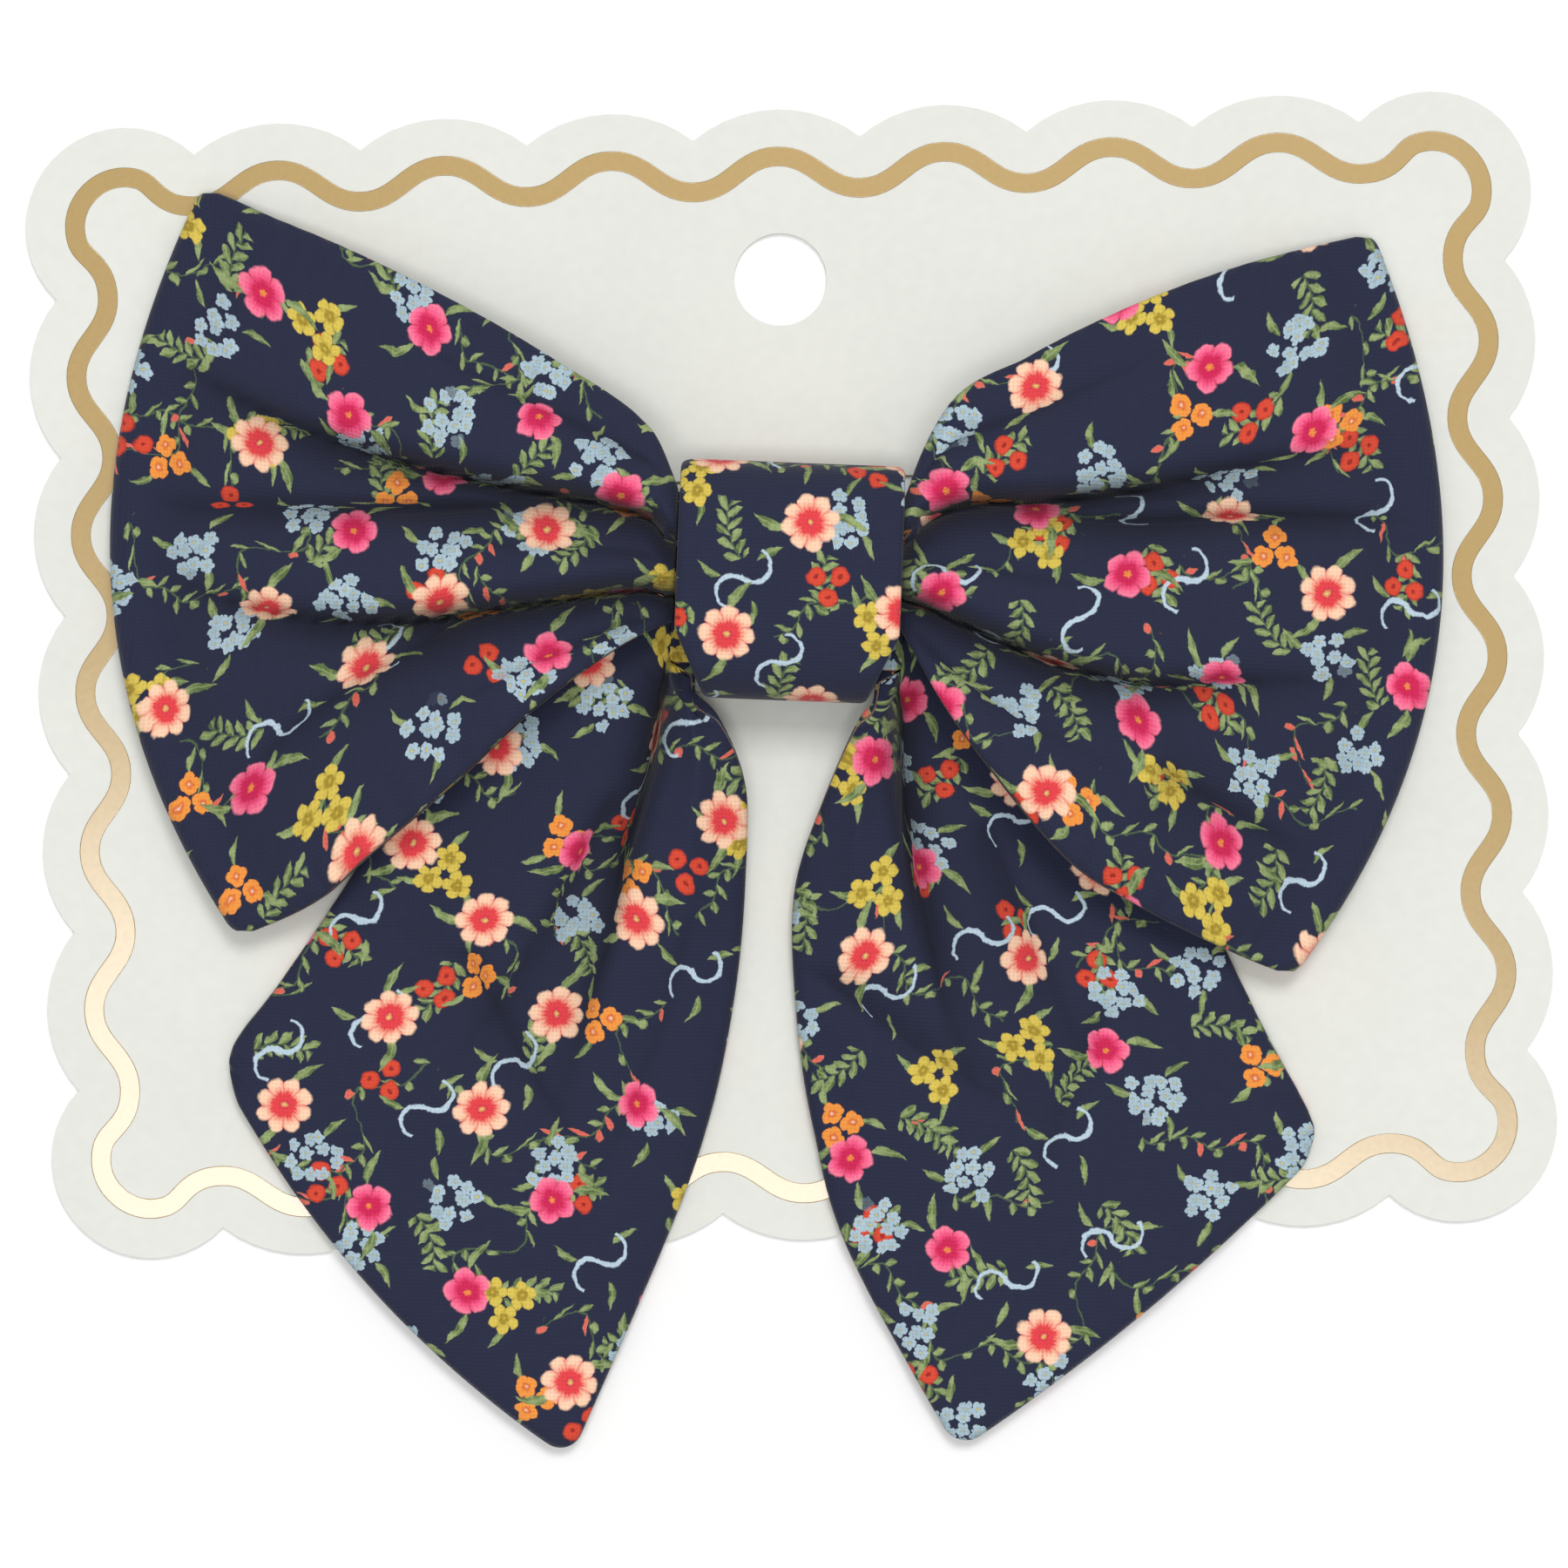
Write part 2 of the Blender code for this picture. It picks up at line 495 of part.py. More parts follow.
def make_tail(name, side, rows, folds, parent):
    """A tail: a strip of double cloth that leaves the knot sideways, turns down and lies flat."""
    column = np.linspace(0.0, 1.0, TAIL_COLUMNS + 1)[None, :]
    along = np.linspace(rows[0].along, 1.0, TAIL_ROWS)[:, None]
    knot_low = KNOT_HEIGHT / 2
    at = columns_at(rows, along)
    outer_x = between(KNOT_MOUTH, TAIL_SPREAD, at.outer_out)
    inner_x = between(KNOT_MOUTH, TAIL_SPREAD, at.inner_out)
    outer_y = -between(knot_low, TAIL_LENGTH, at.outer_down)
    inner_y = -between(knot_low, TAIL_LENGTH, at.inner_down)
    reach = np.hypot(inner_x - outer_x, inner_y - outer_y)
    bend = TAIL_BULGE * at.bulge * 4 * column * (1 - column)
    x = between(outer_x, inner_x, column) + bend * np.abs(inner_y - outer_y) / reach
    y = between(outer_y, inner_y, column) - bend * np.abs(inner_x - outer_x) / reach
    lift = between(at.outer_lift, at.inner_lift, column**NECK_RIDGE_POWER)
    z = between(CLOTH_REST, TAIL_NECK, lift) + TAIL_CLOTH / 2
    loft = TAIL_LOFT * at.loft * np.sin(math.pi * column**TAIL_LOFT_SKEW)
    z = z + np.maximum(loft + fold_relief(folds, along, column, reach), 0.0)
    body = np.stack([x, y, z], -1)
    neck_top = TAIL_NECK_TOP_SHARE * KNOT_INNER_HALF
    neck = np.zeros((2, TAIL_COLUMNS + 1, 3))
    neck[..., 0] = np.array([GAP, KNOT_MOUTH])[:, None]
    neck[..., 1] = between(neck_top, -NECK_HALF, column)
    neck[..., 2] = between(TAIL_NECK, LOOP_NECK, column**NECK_RIDGE_POWER) + TAIL_CLOTH / 2
    neck[..., 2] += fold_relief(folds, np.zeros((2, 1)), column, neck_top + NECK_HALF)
    grid = np.concatenate([neck, body])
    grid[..., 0] *= side
    return place(sheet(name, grid if side > 0 else grid[:, ::-1], TAIL_CLOTH), parts, parent,
                 finish=material(name + " cloth", NAVY, CLOTH_ROUGHNESS))


def stand_on_origin(root):
    """Moves everything so that the middle of the underside of its box lies at the origin."""
    bpy.context.view_layer.update()
    graph = bpy.context.evaluated_depsgraph_get()
    corners = []
    for obj in parts.objects:
        if obj.type != "MESH":
            continue
        shape = obj.evaluated_get(graph)
        corners += [shape.matrix_world @ vertex.co for vertex in shape.data.vertices]
    corners = np.array(corners)
    low, high = corners.min(axis=0), corners.max(axis=0)
    root.location = (-(low[0] + high[0]) / 2, -(low[1] + high[1]) / 2, -low[2])


clear_scene()
parts = collection("pet_bow_tie_on_card")
helpers = collection("helpers", hidden=True)
root = empty("card_frame", None, (0.0, 0.0, 0.0))
bow = empty("bow_frame", root, (0.0, KNOT_ABOVE_CARD_CENTRE, 0.0), BOW_TURN)
make_card(root)
make_elastic("left_elastic", -1, root)
make_elastic("right_elastic", 1, root)
make_tail("left_tail", -1, LEFT_TAIL, LEFT_TAIL_FOLDS, bow)
make_tail("right_tail", 1, RIGHT_TAIL, RIGHT_TAIL_FOLDS, bow)
make_loop("left_loop", -1, LEFT_LOOP_REACH, LEFT_LOOP, LEFT_LOOP_FOLDS, bow)
make_loop("right_loop", 1, RIGHT_LOOP_REACH, RIGHT_LOOP, RIGHT_LOOP_FOLDS, bow)
make_knot_band(bow)
stand_on_origin(root)
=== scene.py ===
"""The looks of a slide-on pet bow tie that lies on its scalloped display card, seen from above.

The cloth pieces repeat the part's own stations and folds, in metres, at the fineness of a fabric.
"""
import math
from collections import namedtuple

import bpy
import numpy as np
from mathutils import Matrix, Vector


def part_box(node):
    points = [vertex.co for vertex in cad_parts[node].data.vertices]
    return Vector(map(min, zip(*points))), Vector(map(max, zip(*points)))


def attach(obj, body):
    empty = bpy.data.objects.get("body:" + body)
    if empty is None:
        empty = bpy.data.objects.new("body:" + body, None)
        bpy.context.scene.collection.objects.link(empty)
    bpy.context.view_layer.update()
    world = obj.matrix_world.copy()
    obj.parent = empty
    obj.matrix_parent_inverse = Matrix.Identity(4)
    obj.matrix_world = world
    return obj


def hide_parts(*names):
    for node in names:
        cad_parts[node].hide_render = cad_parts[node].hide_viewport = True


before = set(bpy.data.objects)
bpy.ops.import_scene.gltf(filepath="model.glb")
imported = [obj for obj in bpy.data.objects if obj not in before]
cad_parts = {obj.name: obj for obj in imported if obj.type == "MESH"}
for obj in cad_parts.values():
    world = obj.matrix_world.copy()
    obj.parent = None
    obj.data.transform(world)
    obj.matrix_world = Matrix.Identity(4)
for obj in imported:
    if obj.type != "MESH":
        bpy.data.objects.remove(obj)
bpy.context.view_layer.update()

# Sizes that the part sets, in metres
KNOT_ABOVE_CARD_CENTRE = 0.0078
BOW_TURN = math.radians(-3.8)
KNOT_WIDTH = 0.019
KNOT_HEIGHT = 0.0202
KNOT_DEPTH = 0.0133
KNOT_FOOT_WIDTH = 0.0142
KNOT_TAPERS_BELOW = 0.0044
LEFT_LOOP_REACH = 0.058
RIGHT_LOOP_REACH = 0.0557
LOOP_HALF_HEIGHT = 0.0315
LOOP_BULGE = 0.0091
LOOP_AIR = 0.0068
TAIL_SPREAD = 0.047
TAIL_LENGTH = 0.075
TAIL_BULGE = 0.0027
TAIL_LOFT = 0.0032
PLEAT_DEPTH = 0.0042
PLEAT_WIDTH = 0.003
BAND_CLOTH = 0.0012
LOOP_CLOTH = 0.0012
TAIL_CLOTH = 0.0015
CREASE_RADIUS = 0.0011
ELASTIC_THICKNESS = 0.0009
ELASTIC_WIDTH = 0.006
COLLAR_WIDTH = 0.0158
CARD_THICKNESS = 0.0008
CARD_CORNER_RADIUS = 0.00855
SCALLOPS_ALONG_WIDTH = 7
SCALLOPS_ALONG_HEIGHT = 5
GAP = 0.0003
LAYER_GAP = 0.0009
SIDE_CLEARANCE = 0.001
BACK_INSET = 0.0002
NECK_SHARE = 0.80
TAIL_NECK_TOP_SHARE = 0.11
LOOP_NECK_LOW_SHARE = 0.42
NECK_RIDGE_POWER = 4
BAND_ROUNDNESS = 3.0
ELASTIC_ROUNDNESS = 0.8
FOLD_RISEN = 0.15
FOLD_FADES = 0.30
LOOP_FULLNESS = 0.8
LOOP_BULGE_SKEW = 0.1
LOOP_CLOSES = 0.78
TAIL_LOFT_SKEW = 1.6

# Places worked out from them, as in the part
BRIDGE_TOP = BACK_INSET + ELASTIC_THICKNESS + GAP + CARD_THICKNESS
BAND_BOTTOM = BRIDGE_TOP + GAP
ELASTIC_TOP = BRIDGE_TOP + GAP + ELASTIC_THICKNESS
CLOTH_REST = CARD_THICKNESS + GAP
TAIL_NECK = max(BAND_BOTTOM + BAND_CLOTH, ELASTIC_TOP) + GAP
LOOP_NECK = TAIL_NECK + TAIL_CLOTH + LAYER_GAP
KNOT_SIDE = KNOT_WIDTH / 2
KNOT_MOUTH = KNOT_SIDE + GAP
KNOT_INNER_HALF = KNOT_HEIGHT / 2 - BAND_CLOTH
NECK_HALF = NECK_SHARE * KNOT_INNER_HALF
NECK_AIR = BAND_BOTTOM + KNOT_DEPTH - BAND_CLOTH - GAP - LOOP_NECK - 2 * LOOP_CLOTH
TURNED_KNOT_SIDE = KNOT_SIDE * math.cos(BOW_TURN) + KNOT_HEIGHT / 2 * abs(math.sin(BOW_TURN))
ELASTIC_X = TURNED_KNOT_SIDE + SIDE_CLEARANCE + ELASTIC_WIDTH / 2
CARD_LOW, CARD_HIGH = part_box("card")
CARD_CENTRE = np.array([(CARD_LOW.x + CARD_HIGH.x) / 2, (CARD_LOW.y + CARD_HIGH.y) / 2, 0.0])
KNOT_CENTRE = CARD_CENTRE + (0.0, KNOT_ABOVE_CARD_CENTRE, 0.0)

# The cloth's own fineness, in metres
EDGE_ROUND = 0.0011
TAIL_CORNER_ROUND = 0.0024
TUCKED_CLOTH = 0.004
PUCKER_PITCH = 0.0034
PUCKER_REACH = 0.0022
PUCKER_DEPTH = 0.00022
RIPPLE_DEPTH = 0.00028
KNOT_SWELL = 0.00025
KNOT_RIPPLE = 0.0001
ELASTIC_EDGE = 0.0004

# A fold's shape and the shade painted along it, with widths and reaches in the fold's half widths
FINE_FOLD_POINT = 1.25
ROLL_REACH = 1.5
TUCK_WIDTH = 0.07
PAINTED_SHADE_PER_DEPTH = 1.2
PAINTED_LINE_SHADE = 0.96
PAINTED_LINE_WIDTH = 0.26
PAINTED_BAND_SHADE = 0.78
PAINTED_BAND_REACH = 0.75
STEEP_SIDE = 3.0

# How much of a slope's extra cloth shifts the print, and how deep an elastic's grooves are
SLOPE_SHARE = 0.2
RIB_GROOVE = 0.38

# Shares of a loop's or tail's length: where ripples and puckers come in, and where and over how
# much a tail's valleys sink below its flat back, clear of the elastic
LOOP_RIPPLES_BY = 0.1
LOOP_PUCKERS_BY = 0.2
TAIL_FREE_FROM = 0.35
TAIL_FREE_OVER = 0.2
VALLEYS_SINK_FROM = 0.17
VALLEYS_SINK_OVER = 0.12

# Threads, and how far off the other face of the cloth is printed, in millimetres
THREAD_MM = 0.34
ELASTIC_THREAD_MM = 0.26
UNDERSIDE_SHIFT = (37.0, 61.0)

# Counts: mesh rows, columns and steps, a ripple's waves, an elastic's ribs
LOOP_ROWS = 112
LOOP_COLUMNS = 126
CREASE_STEPS = 14
TAIL_ROWS = 150
TAIL_COLUMNS = 84
BAND_STEPS = 220
BAND_COLUMNS = 64
ELASTIC_CORNER_STEPS = 13
ELASTIC_RIBS = 9
STEPS_PER_RIB = 8
FOIL_STEPS = 14
RIPPLE_WAVES = 9

# The gold line on the card, in metres, then as a share of a wave's step and of the line's width
FOIL_WIDTH = 0.0017
FOIL_HEIGHT = 0.00003
FOIL_CREST_INSET = 0.0040
FOIL_WAVE = 0.0029
FOIL_CORNER_RADIUS = 0.0043
FOIL_WAVE_HANDLE = 0.45
FOIL_ACROSS = (-0.5, -0.485, -0.46, 0.0, 0.46, 0.485, 0.5)

# The view: the photograph's frame, centred on this place of the card's plane
VIEW_WIDTH = 0.135
VIEW_CENTRE = (-0.0009, -0.0004)
VIEW_HEIGHT = 0.68
VIEW_ROLL = math.radians(-1.6)

# The studio: area lights as name, place, size and power, then the world's light and the floor
LIGHTS = (
    ("key", (0.14, 0.50, 1.50), (0.40, 0.40), 9.5),
    ("front", (-0.04, -0.16, 1.50), (0.52, 0.22), 6.8),
    ("overhead", (0.0, 0.0, 1.60), (2.0, 2.0), 8.5),
)
WORLD_STRENGTH = 0.24
FLOOR_TONE = 0.925


def table(kind, *rows):
    return tuple(kind(*row) for row in rows)


LoopRow = namedtuple(
    "LoopRow", "along top_out top_up low_out low_up bulge top_seat low_seat edge_air mid_air"
)
LEFT_LOOP = table(
    LoopRow,
    (0.00, 0.00, 0.00, 0.00, 0.00, 0.00, 1.00, 1.00, 0.50, 0.92),
    (0.05, 0.04, 0.18, 0.04, 0.03, 0.02, 0.96, 0.99, 0.58, 0.95),
    (0.10, 0.07, 0.25, 0.08, 0.07, 0.08, 0.90, 0.97, 0.66, 1.00),
    (0.25, 0.23, 0.45, 0.23, 0.27, 0.30, 0.62, 0.86, 0.78, 1.00),
    (0.42, 0.39, 0.62, 0.37, 0.51, 0.50, 0.36, 0.72, 0.76, 0.92),
    (0.62, 0.59, 0.80, 0.53, 0.76, 0.70, 0.16, 0.58, 0.60, 0.74),
    (0.78, 0.72, 0.90, 0.61, 0.89, 0.84, 0.06, 0.48, 0.40, 0.52),
    (1.00, 0.87, 1.00, 0.755, 1.00, 1.00, 0.00, 0.36, 0.15, 0.15),
)
RIGHT_LOOP = table(
    LoopRow,
    (0.00, 0.00, 0.00, 0.00, 0.00, 0.00, 1.00, 1.00, 0.50, 0.92),
    (0.05, 0.03, 0.18, 0.03, 0.08, 0.02, 0.96, 1.08, 0.58, 0.95),
    (0.10, 0.065, 0.32, 0.065, 0.18, 0.08, 0.90, 1.08, 0.66, 1.00),
    (0.25, 0.216, 0.52, 0.19, 0.445, 0.30, 0.62, 0.88, 0.78, 1.00),
    (0.42, 0.38, 0.69, 0.32, 0.675, 0.50, 0.36, 0.76, 0.76, 0.92),
    (0.62, 0.56, 0.84, 0.455, 0.81, 0.70, 0.16, 0.62, 0.60, 0.74),
    (0.78, 0.69, 0.925, 0.595, 0.915, 0.84, 0.06, 0.50, 0.40, 0.52),
    (1.00, 0.853, 1.00, 0.755, 1.00, 1.00, 0.00, 0.36, 0.15, 0.15),
)
TailRow = namedtuple(
    "TailRow", "along outer_out outer_down inner_out inner_down bulge outer_lift inner_lift loft"
)
LEFT_TAIL = table(
    TailRow,
    (0.05, 0.048, -0.148, -0.046, -0.028, 0.00, 1.00, 1.70, 0.00),
    (0.10, 0.093, -0.122, -0.054, 0.006, 0.00, 1.00, 1.60, 0.00),
    (0.20, 0.222, -0.082, -0.118, 0.036, 0.00, 0.95, 1.60, 0.20),
    (0.32, 0.387, -0.011, -0.181, 0.115, 0.10, 0.52, 1.15, 0.60),
    (0.45, 0.560, 0.091, -0.190, 0.235, 0.20, 0.28, 0.55, 1.00),
    (0.60, 0.720, 0.254, -0.176, 0.388, 0.30, 0.10, 0.20, 0.85),
    (0.75, 0.877, 0.399, -0.125, 0.561, 0.40, 0.02, 0.05, 0.65),
    (0.88, 0.973, 0.479, -0.035, 0.723, 0.60, 0.00, 0.00, 0.40),
    (1.00, 0.989, 0.533, 0.163, 1.012, 1.00, 0.00, 0.00, 0.15),
)
RIGHT_TAIL = table(
    TailRow,
    (0.05, 0.048, -0.148, -0.046, -0.028, 0.00, 1.00, 1.70, 0.00),
    (0.10, 0.093, -0.122, -0.054, 0.005, 0.00, 1.00, 1.60, 0.00),
    (0.20, 0.222, -0.082, -0.098, 0.036, 0.00, 0.97, 1.55, 0.10),
    (0.32, 0.400, 0.006, -0.165, 0.130, 0.10, 0.48, 1.10, 0.40),
    (0.45, 0.587, 0.114, -0.222, 0.242, 0.20, 0.20, 0.50, 0.75),
    (0.60, 0.747, 0.276, -0.213, 0.391, 0.20, 0.10, 0.20, 0.85),
    (0.75, 0.877, 0.414, -0.160, 0.561, 0.20, 0.02, 0.05, 0.65),
    (0.88, 0.984, 0.519, -0.061, 0.730, 0.30, 0.00, 0.00, 0.40),
    (1.00, 1.005, 0.569, 0.200, 0.982, 0.40, 0.00, 0.00, 0.15),
)

# Folds, as in the part, with finer ones added. lean makes one side of a fold steeper: above zero
# the side towards the low or inner edge, below zero the other.
Fold = namedtuple("Fold", "start from_across end to_across height half_width lean")
LEFT_LOOP_FOLDS = table(
    Fold,
    (0.00, 0.44, 0.98, 0.21, -1.20, 0.80, -0.50),
    (0.20, 0.43, 1.20, 0.42, -0.62, 0.50, -0.30),
    (0.00, 0.80, 0.96, 0.50, -1.20, 0.80, -0.50),
    (0.30, 0.70, 0.90, 0.84, -0.34, 0.90, -0.20),
    (0.02, 0.18, 0.50, 0.10, -0.24, 0.50, 0.00),
    (0.02, 0.62, 0.40, 0.50, -0.20, 0.45, 0.00),
    (0.02, 0.93, 0.44, 0.86, -0.20, 0.45, 0.00),
)
RIGHT_LOOP_FOLDS = table(
    Fold,
    (0.00, 0.37, 0.88, 0.27, -1.20, 0.80, -0.50),
    (0.25, 0.38, 1.20, 0.38, -0.62, 0.50, -0.30),
    (0.00, 0.75, 0.86, 0.60, -1.20, 0.80, -0.50),
    (0.50, 0.80, 0.92, 0.86, -0.38, 0.90, -0.20),
    (0.02, 0.16, 0.50, 0.09, -0.24, 0.50, 0.00),
    (0.02, 0.57, 0.42, 0.50, -0.20, 0.45, 0.00),
    (0.02, 0.90, 0.44, 0.82, -0.20, 0.45, 0.00),
)
LEFT_TAIL_FOLDS = table(
    Fold,
    (0.06, 0.60, 0.80, 0.68, -1.15, 0.70, 0.45),
    (0.04, 0.80, 0.66, 0.84, 0.50, 0.90, 0.00),
    (0.38, 0.57, 0.78, 0.42, -0.38, 0.80, -0.20),
    (0.62, 0.32, 0.84, 0.82, -0.28, 1.00, 0.30),
    (0.50, 0.86, 0.94, 0.80, -0.14, 0.80, 0.00),
)
RIGHT_TAIL_FOLDS = table(
    Fold,
    (0.06, 0.72, 0.76, 0.64, -1.15, 0.70, 0.45),
    (0.04, 0.88, 0.60, 0.82, 0.45, 0.80, 0.00),
    (0.40, 0.46, 0.76, 0.38, -0.32, 0.90, -0.20),
    (0.56, 0.96, 0.80, 0.50, -0.30, 0.90, 0.30),
    (0.66, 0.30, 0.88, 0.62, -0.20, 0.90, 0.00),
)


def between(start, end, share):
    return start + (end - start) * share


def ease(share):
    share = np.clip(share, 0.0, 1.0)
    return share * share * (3.0 - 2.0 * share)


def through(knots, values, at):
    """A smooth curve through values at knots, read at each place in at."""
    knots, values = np.asarray(knots, float), np.asarray(values, float)
    slopes = np.gradient(values, knots)
    i = np.clip(np.searchsorted(knots, at) - 1, 0, len(knots) - 2)
    step = knots[i + 1] - knots[i]
    t = (at - knots[i]) / step
    return (
        (1 + 2 * t) * (1 - t) ** 2 * values[i]
        + t * (1 - t) ** 2 * step * slopes[i]
        + t * t * (3 - 2 * t) * values[i + 1]
        + t * t * (t - 1) * step * slopes[i + 1]
    )


def columns_at(rows, at):
    """The rows' columns, each a smooth curve, read at each place in at."""
    knots = [row.along for row in rows]
    return type(rows[0])(*(through(knots, column, at) for column in zip(*rows)))


def place_in_fold(fold, along, across, span):
    """How many half widths each place is aside of a fold's line, and how present the fold is."""
    share = (along - fold.start) / (fold.end - fold.start)
    centre = between(fold.from_across, fold.to_across, np.clip(share, 0.0, 1.0))
    aside = (across - centre) * span / (fold.half_width * PLEAT_WIDTH)
    rise = ease(share / FOLD_RISEN) if fold.start > 0 else (share >= 0) * 1.0
    return aside, rise * ease((1.0 - share) / (1.0 - FOLD_FADES))


def fold_relief(folds, along, across, span):
    """How far folds raise or sink the cloth. span is how wide the cloth is at each place.

    The deeper a valley is, the more it looks like two round rolls that meet in a sharp crease.
    """
    total = 0.0
    for fold in folds:
        aside, present = place_in_fold(fold, along, across, span)
        aside = np.abs(aside) * (1.0 + fold.lean * np.sign(aside))
        nearness = np.clip(1.0 - aside / ROLL_REACH, 0.0, 1.0)
        rolls = 1.0 - np.sqrt(1.0 - nearness**2)
        shape = between(np.exp(-(aside**FINE_FOLD_POINT)), rolls, min(max(-fold.height, 0.0), 1.0))
        total = total + fold.height * PLEAT_DEPTH * shape * present
    return total


def tucked(folds, along, across, span):
    """How much cloth the valleys hide, added up across the cloth, which cuts the print there."""
    total = 0.0
    for fold in folds:
        if fold.height < 0:
            aside, present = place_in_fold(fold, along, across, span)
            total = total - fold.height * TUCKED_CLOTH * present * np.tanh(aside / TUCK_WIDTH) / 2
    return total


def painted_crease_shade(folds, along, across, span):
    """Painted shade from 0 to 1: a dark line along each valley and a softer band beside it."""
    left_unshaded = 1.0
    for fold in folds:
        if fold.height < 0:
            aside, present = place_in_fold(fold, along, across, span)
            gentle = np.where(aside * fold.lean < 0, np.abs(aside), np.abs(aside) * STEEP_SIDE)
            # A dark painted line on the valley's line, and a wider band of painted shade on its
            # gentle side
            line = PAINTED_LINE_SHADE * np.exp(-((aside / PAINTED_LINE_WIDTH) ** 2))
            shade = PAINTED_BAND_SHADE * np.exp(-gentle / PAINTED_BAND_REACH)
            deep = min(-PAINTED_SHADE_PER_DEPTH * fold.height, 1.0)
            left_unshaded = left_unshaded * (1.0 - np.maximum(line, shade) * deep * np.sqrt(present))
    return 1.0 - left_unshaded


def print_place(grid, hidden):
    """Where each point lies on the flat cloth, in millimetres: seen from above, the print keeps its
    size, and what the slopes and the valleys take up is added across the cloth."""
    step = np.diff(grid, axis=1, prepend=grid[:, :1])
    flat = np.linalg.norm(step[..., :2], axis=-1)
    taken = np.cumsum(np.linalg.norm(step, axis=-1) - flat, axis=1)
    taken = SLOPE_SHARE * (taken - taken[:, taken.shape[1] // 2][:, None]) + hidden
    across = grid[:, -1, :2] - grid[:, 0, :2]
    across /= np.maximum(np.linalg.norm(across, axis=-1, keepdims=True), 1e-9)
    return (grid[..., :2] + across[:, None] * taken[..., None]) * 1000


def crowded(count, crowding=0.75):
    """Shares from 0 to 1, closer together at both ends."""
    t = np.linspace(0.0, 1.0, count + 1)
    return t - crowding * np.sin(2 * math.pi * t) / (2 * math.pi)


def ripples(seed, along, across):
    """Faint uneven waves that spread out from the gathers, from -1 to 1."""
    chance = np.random.default_rng(seed)
    total = 0.0
    for _ in range(RIPPLE_WAVES):
        turns, drift = chance.uniform(1.5, 7.0), chance.uniform(-2.2, 2.2)
        phase = chance.uniform(0, 2 * math.pi)
        wave = np.sin(2 * math.pi * (turns * across + drift * along) + phase)
        total = total + wave / RIPPLE_WAVES
    return total


def edge_distance(across, width):
    return np.minimum(across, 1.0 - across) * width


def pucker(seed, run, distance):
    """The small waves that a seam draws into an edge. run is the length along the edge."""
    chance = np.random.default_rng(seed)
    shift = 0
    for _ in range(3):
        size = chance.uniform(0.2, 0.5)
        shift = shift + size * np.sin(run / PUCKER_PITCH * chance.uniform(0.5, 1.2))
    wave = np.sin(2 * math.pi * run / PUCKER_PITCH + 2 * shift)
    return PUCKER_DEPTH * wave * np.exp(-distance / PUCKER_REACH)


def rounded(distance, half):
    """Half the cloth's thickness, rounded off where the cloth is turned in at its edge."""
    inward = np.clip(distance / EDGE_ROUND, 0.0, 1.0)
    return half * np.sqrt(1.0 - (1.0 - inward) ** 2)


def in_row_frame(grid):
    """Turns and moves the bow's own coordinates to where the bow lies on the card."""
    c, s = math.cos(BOW_TURN), math.sin(BOW_TURN)
    x = grid[..., 0] * c - grid[..., 1] * s
    y = grid[..., 0] * s + grid[..., 1] * c
    return np.stack([x, y, grid[..., 2]], -1) + KNOT_CENTRE


def run_along(points):
    """How far along a line of points each one lies."""
    steps = np.diff(points, axis=0, prepend=points[:1])
    return np.cumsum(np.linalg.norm(steps, axis=-1))[:, None]


def normals_of(grid, ring):
    if ring:
        padded = np.concatenate([grid[-1:], grid, grid[:1]])
        down = (padded[2:] - padded[:-2]) / 2
    else:
        down = np.gradient(grid, axis=0)
    over = np.gradient(grid, axis=1)
    normal = np.cross(down, over)
    return normal / np.maximum(np.linalg.norm(normal, axis=-1, keepdims=True), 1e-12)


def shell(name, grid, half, cloth, ring=False, facing=None, painted_shade=None):
    """A closed cloth wall round a grid of points: half is half its thickness, zero along its rims.

    The thickness follows the normals of facing, a smoother grid, where there is one. painted_shade
    is how much shade is painted onto each point of the upper face, darkest in the creases.
    """
    rows, columns = grid.shape[:2]
    offset = normals_of(grid if facing is None else facing, ring) * half[..., None]
    index = np.arange(rows * columns).reshape(rows, columns)
    rim = np.zeros((rows, columns), bool)
    rim[:, [0, -1]] = True
    if not ring:
        rim[[0, -1], :] = True
    under = np.where(rim, index, 0)
    under[~rim] = rows * columns + np.arange((~rim).sum())
    points = np.concatenate([(grid + offset).reshape(-1, 3), (grid - offset)[~rim]])
    flat = np.concatenate([cloth.reshape(-1, 2), cloth[~rim] + UNDERSIDE_SHIFT])
    faces = []
    for sheet, flip in ((index, False), (under, True)):
        after = np.roll(sheet, -1, axis=0) if ring else sheet[1:]
        here = sheet if ring else sheet[:-1]
        quads = np.stack([here[:, :-1], after[:, :-1], after[:, 1:], here[:, 1:]], -1)
        quads = quads.reshape(-1, 4)
        faces.append(quads[:, ::-1] if flip else quads)
    mesh = bpy.data.meshes.new(name)
    mesh.from_pydata(points.tolist(), [], np.concatenate(faces).tolist())
    mesh.shade_smooth()
    held = mesh.attributes.new("cloth", "FLOAT_VECTOR", "POINT")
    held.data.foreach_set("vector", np.column_stack([flat, np.zeros(len(flat))]).ravel())
    # The shade painted into the creases is kept in the crease attribute, on the upper face only
    if painted_shade is not None:
        dark = mesh.attributes.new("crease", "FLOAT", "POINT")
        dark.data.foreach_set("value", np.concatenate([painted_shade.ravel(), np.zeros((~rim).sum())]))
    obj = bpy.data.objects.new(name, mesh)
    bpy.context.scene.collection.objects.link(obj)
    return obj


def one_side(name, side, grid, smooth, half, cloth, painted_shade):
    """The wall of a loop or tail worked out for the right, or its mirror image for the left."""
    for points in (grid, smooth):
        points[..., 0] *= side
    if side > 0:
        grid, smooth, half, cloth, painted_shade = (
            part[:, ::-1] for part in (grid, smooth, half, cloth, painted_shade))
    return shell(
        name, in_row_frame(grid), half, cloth, facing=in_row_frame(smooth), painted_shade=painted_shade)


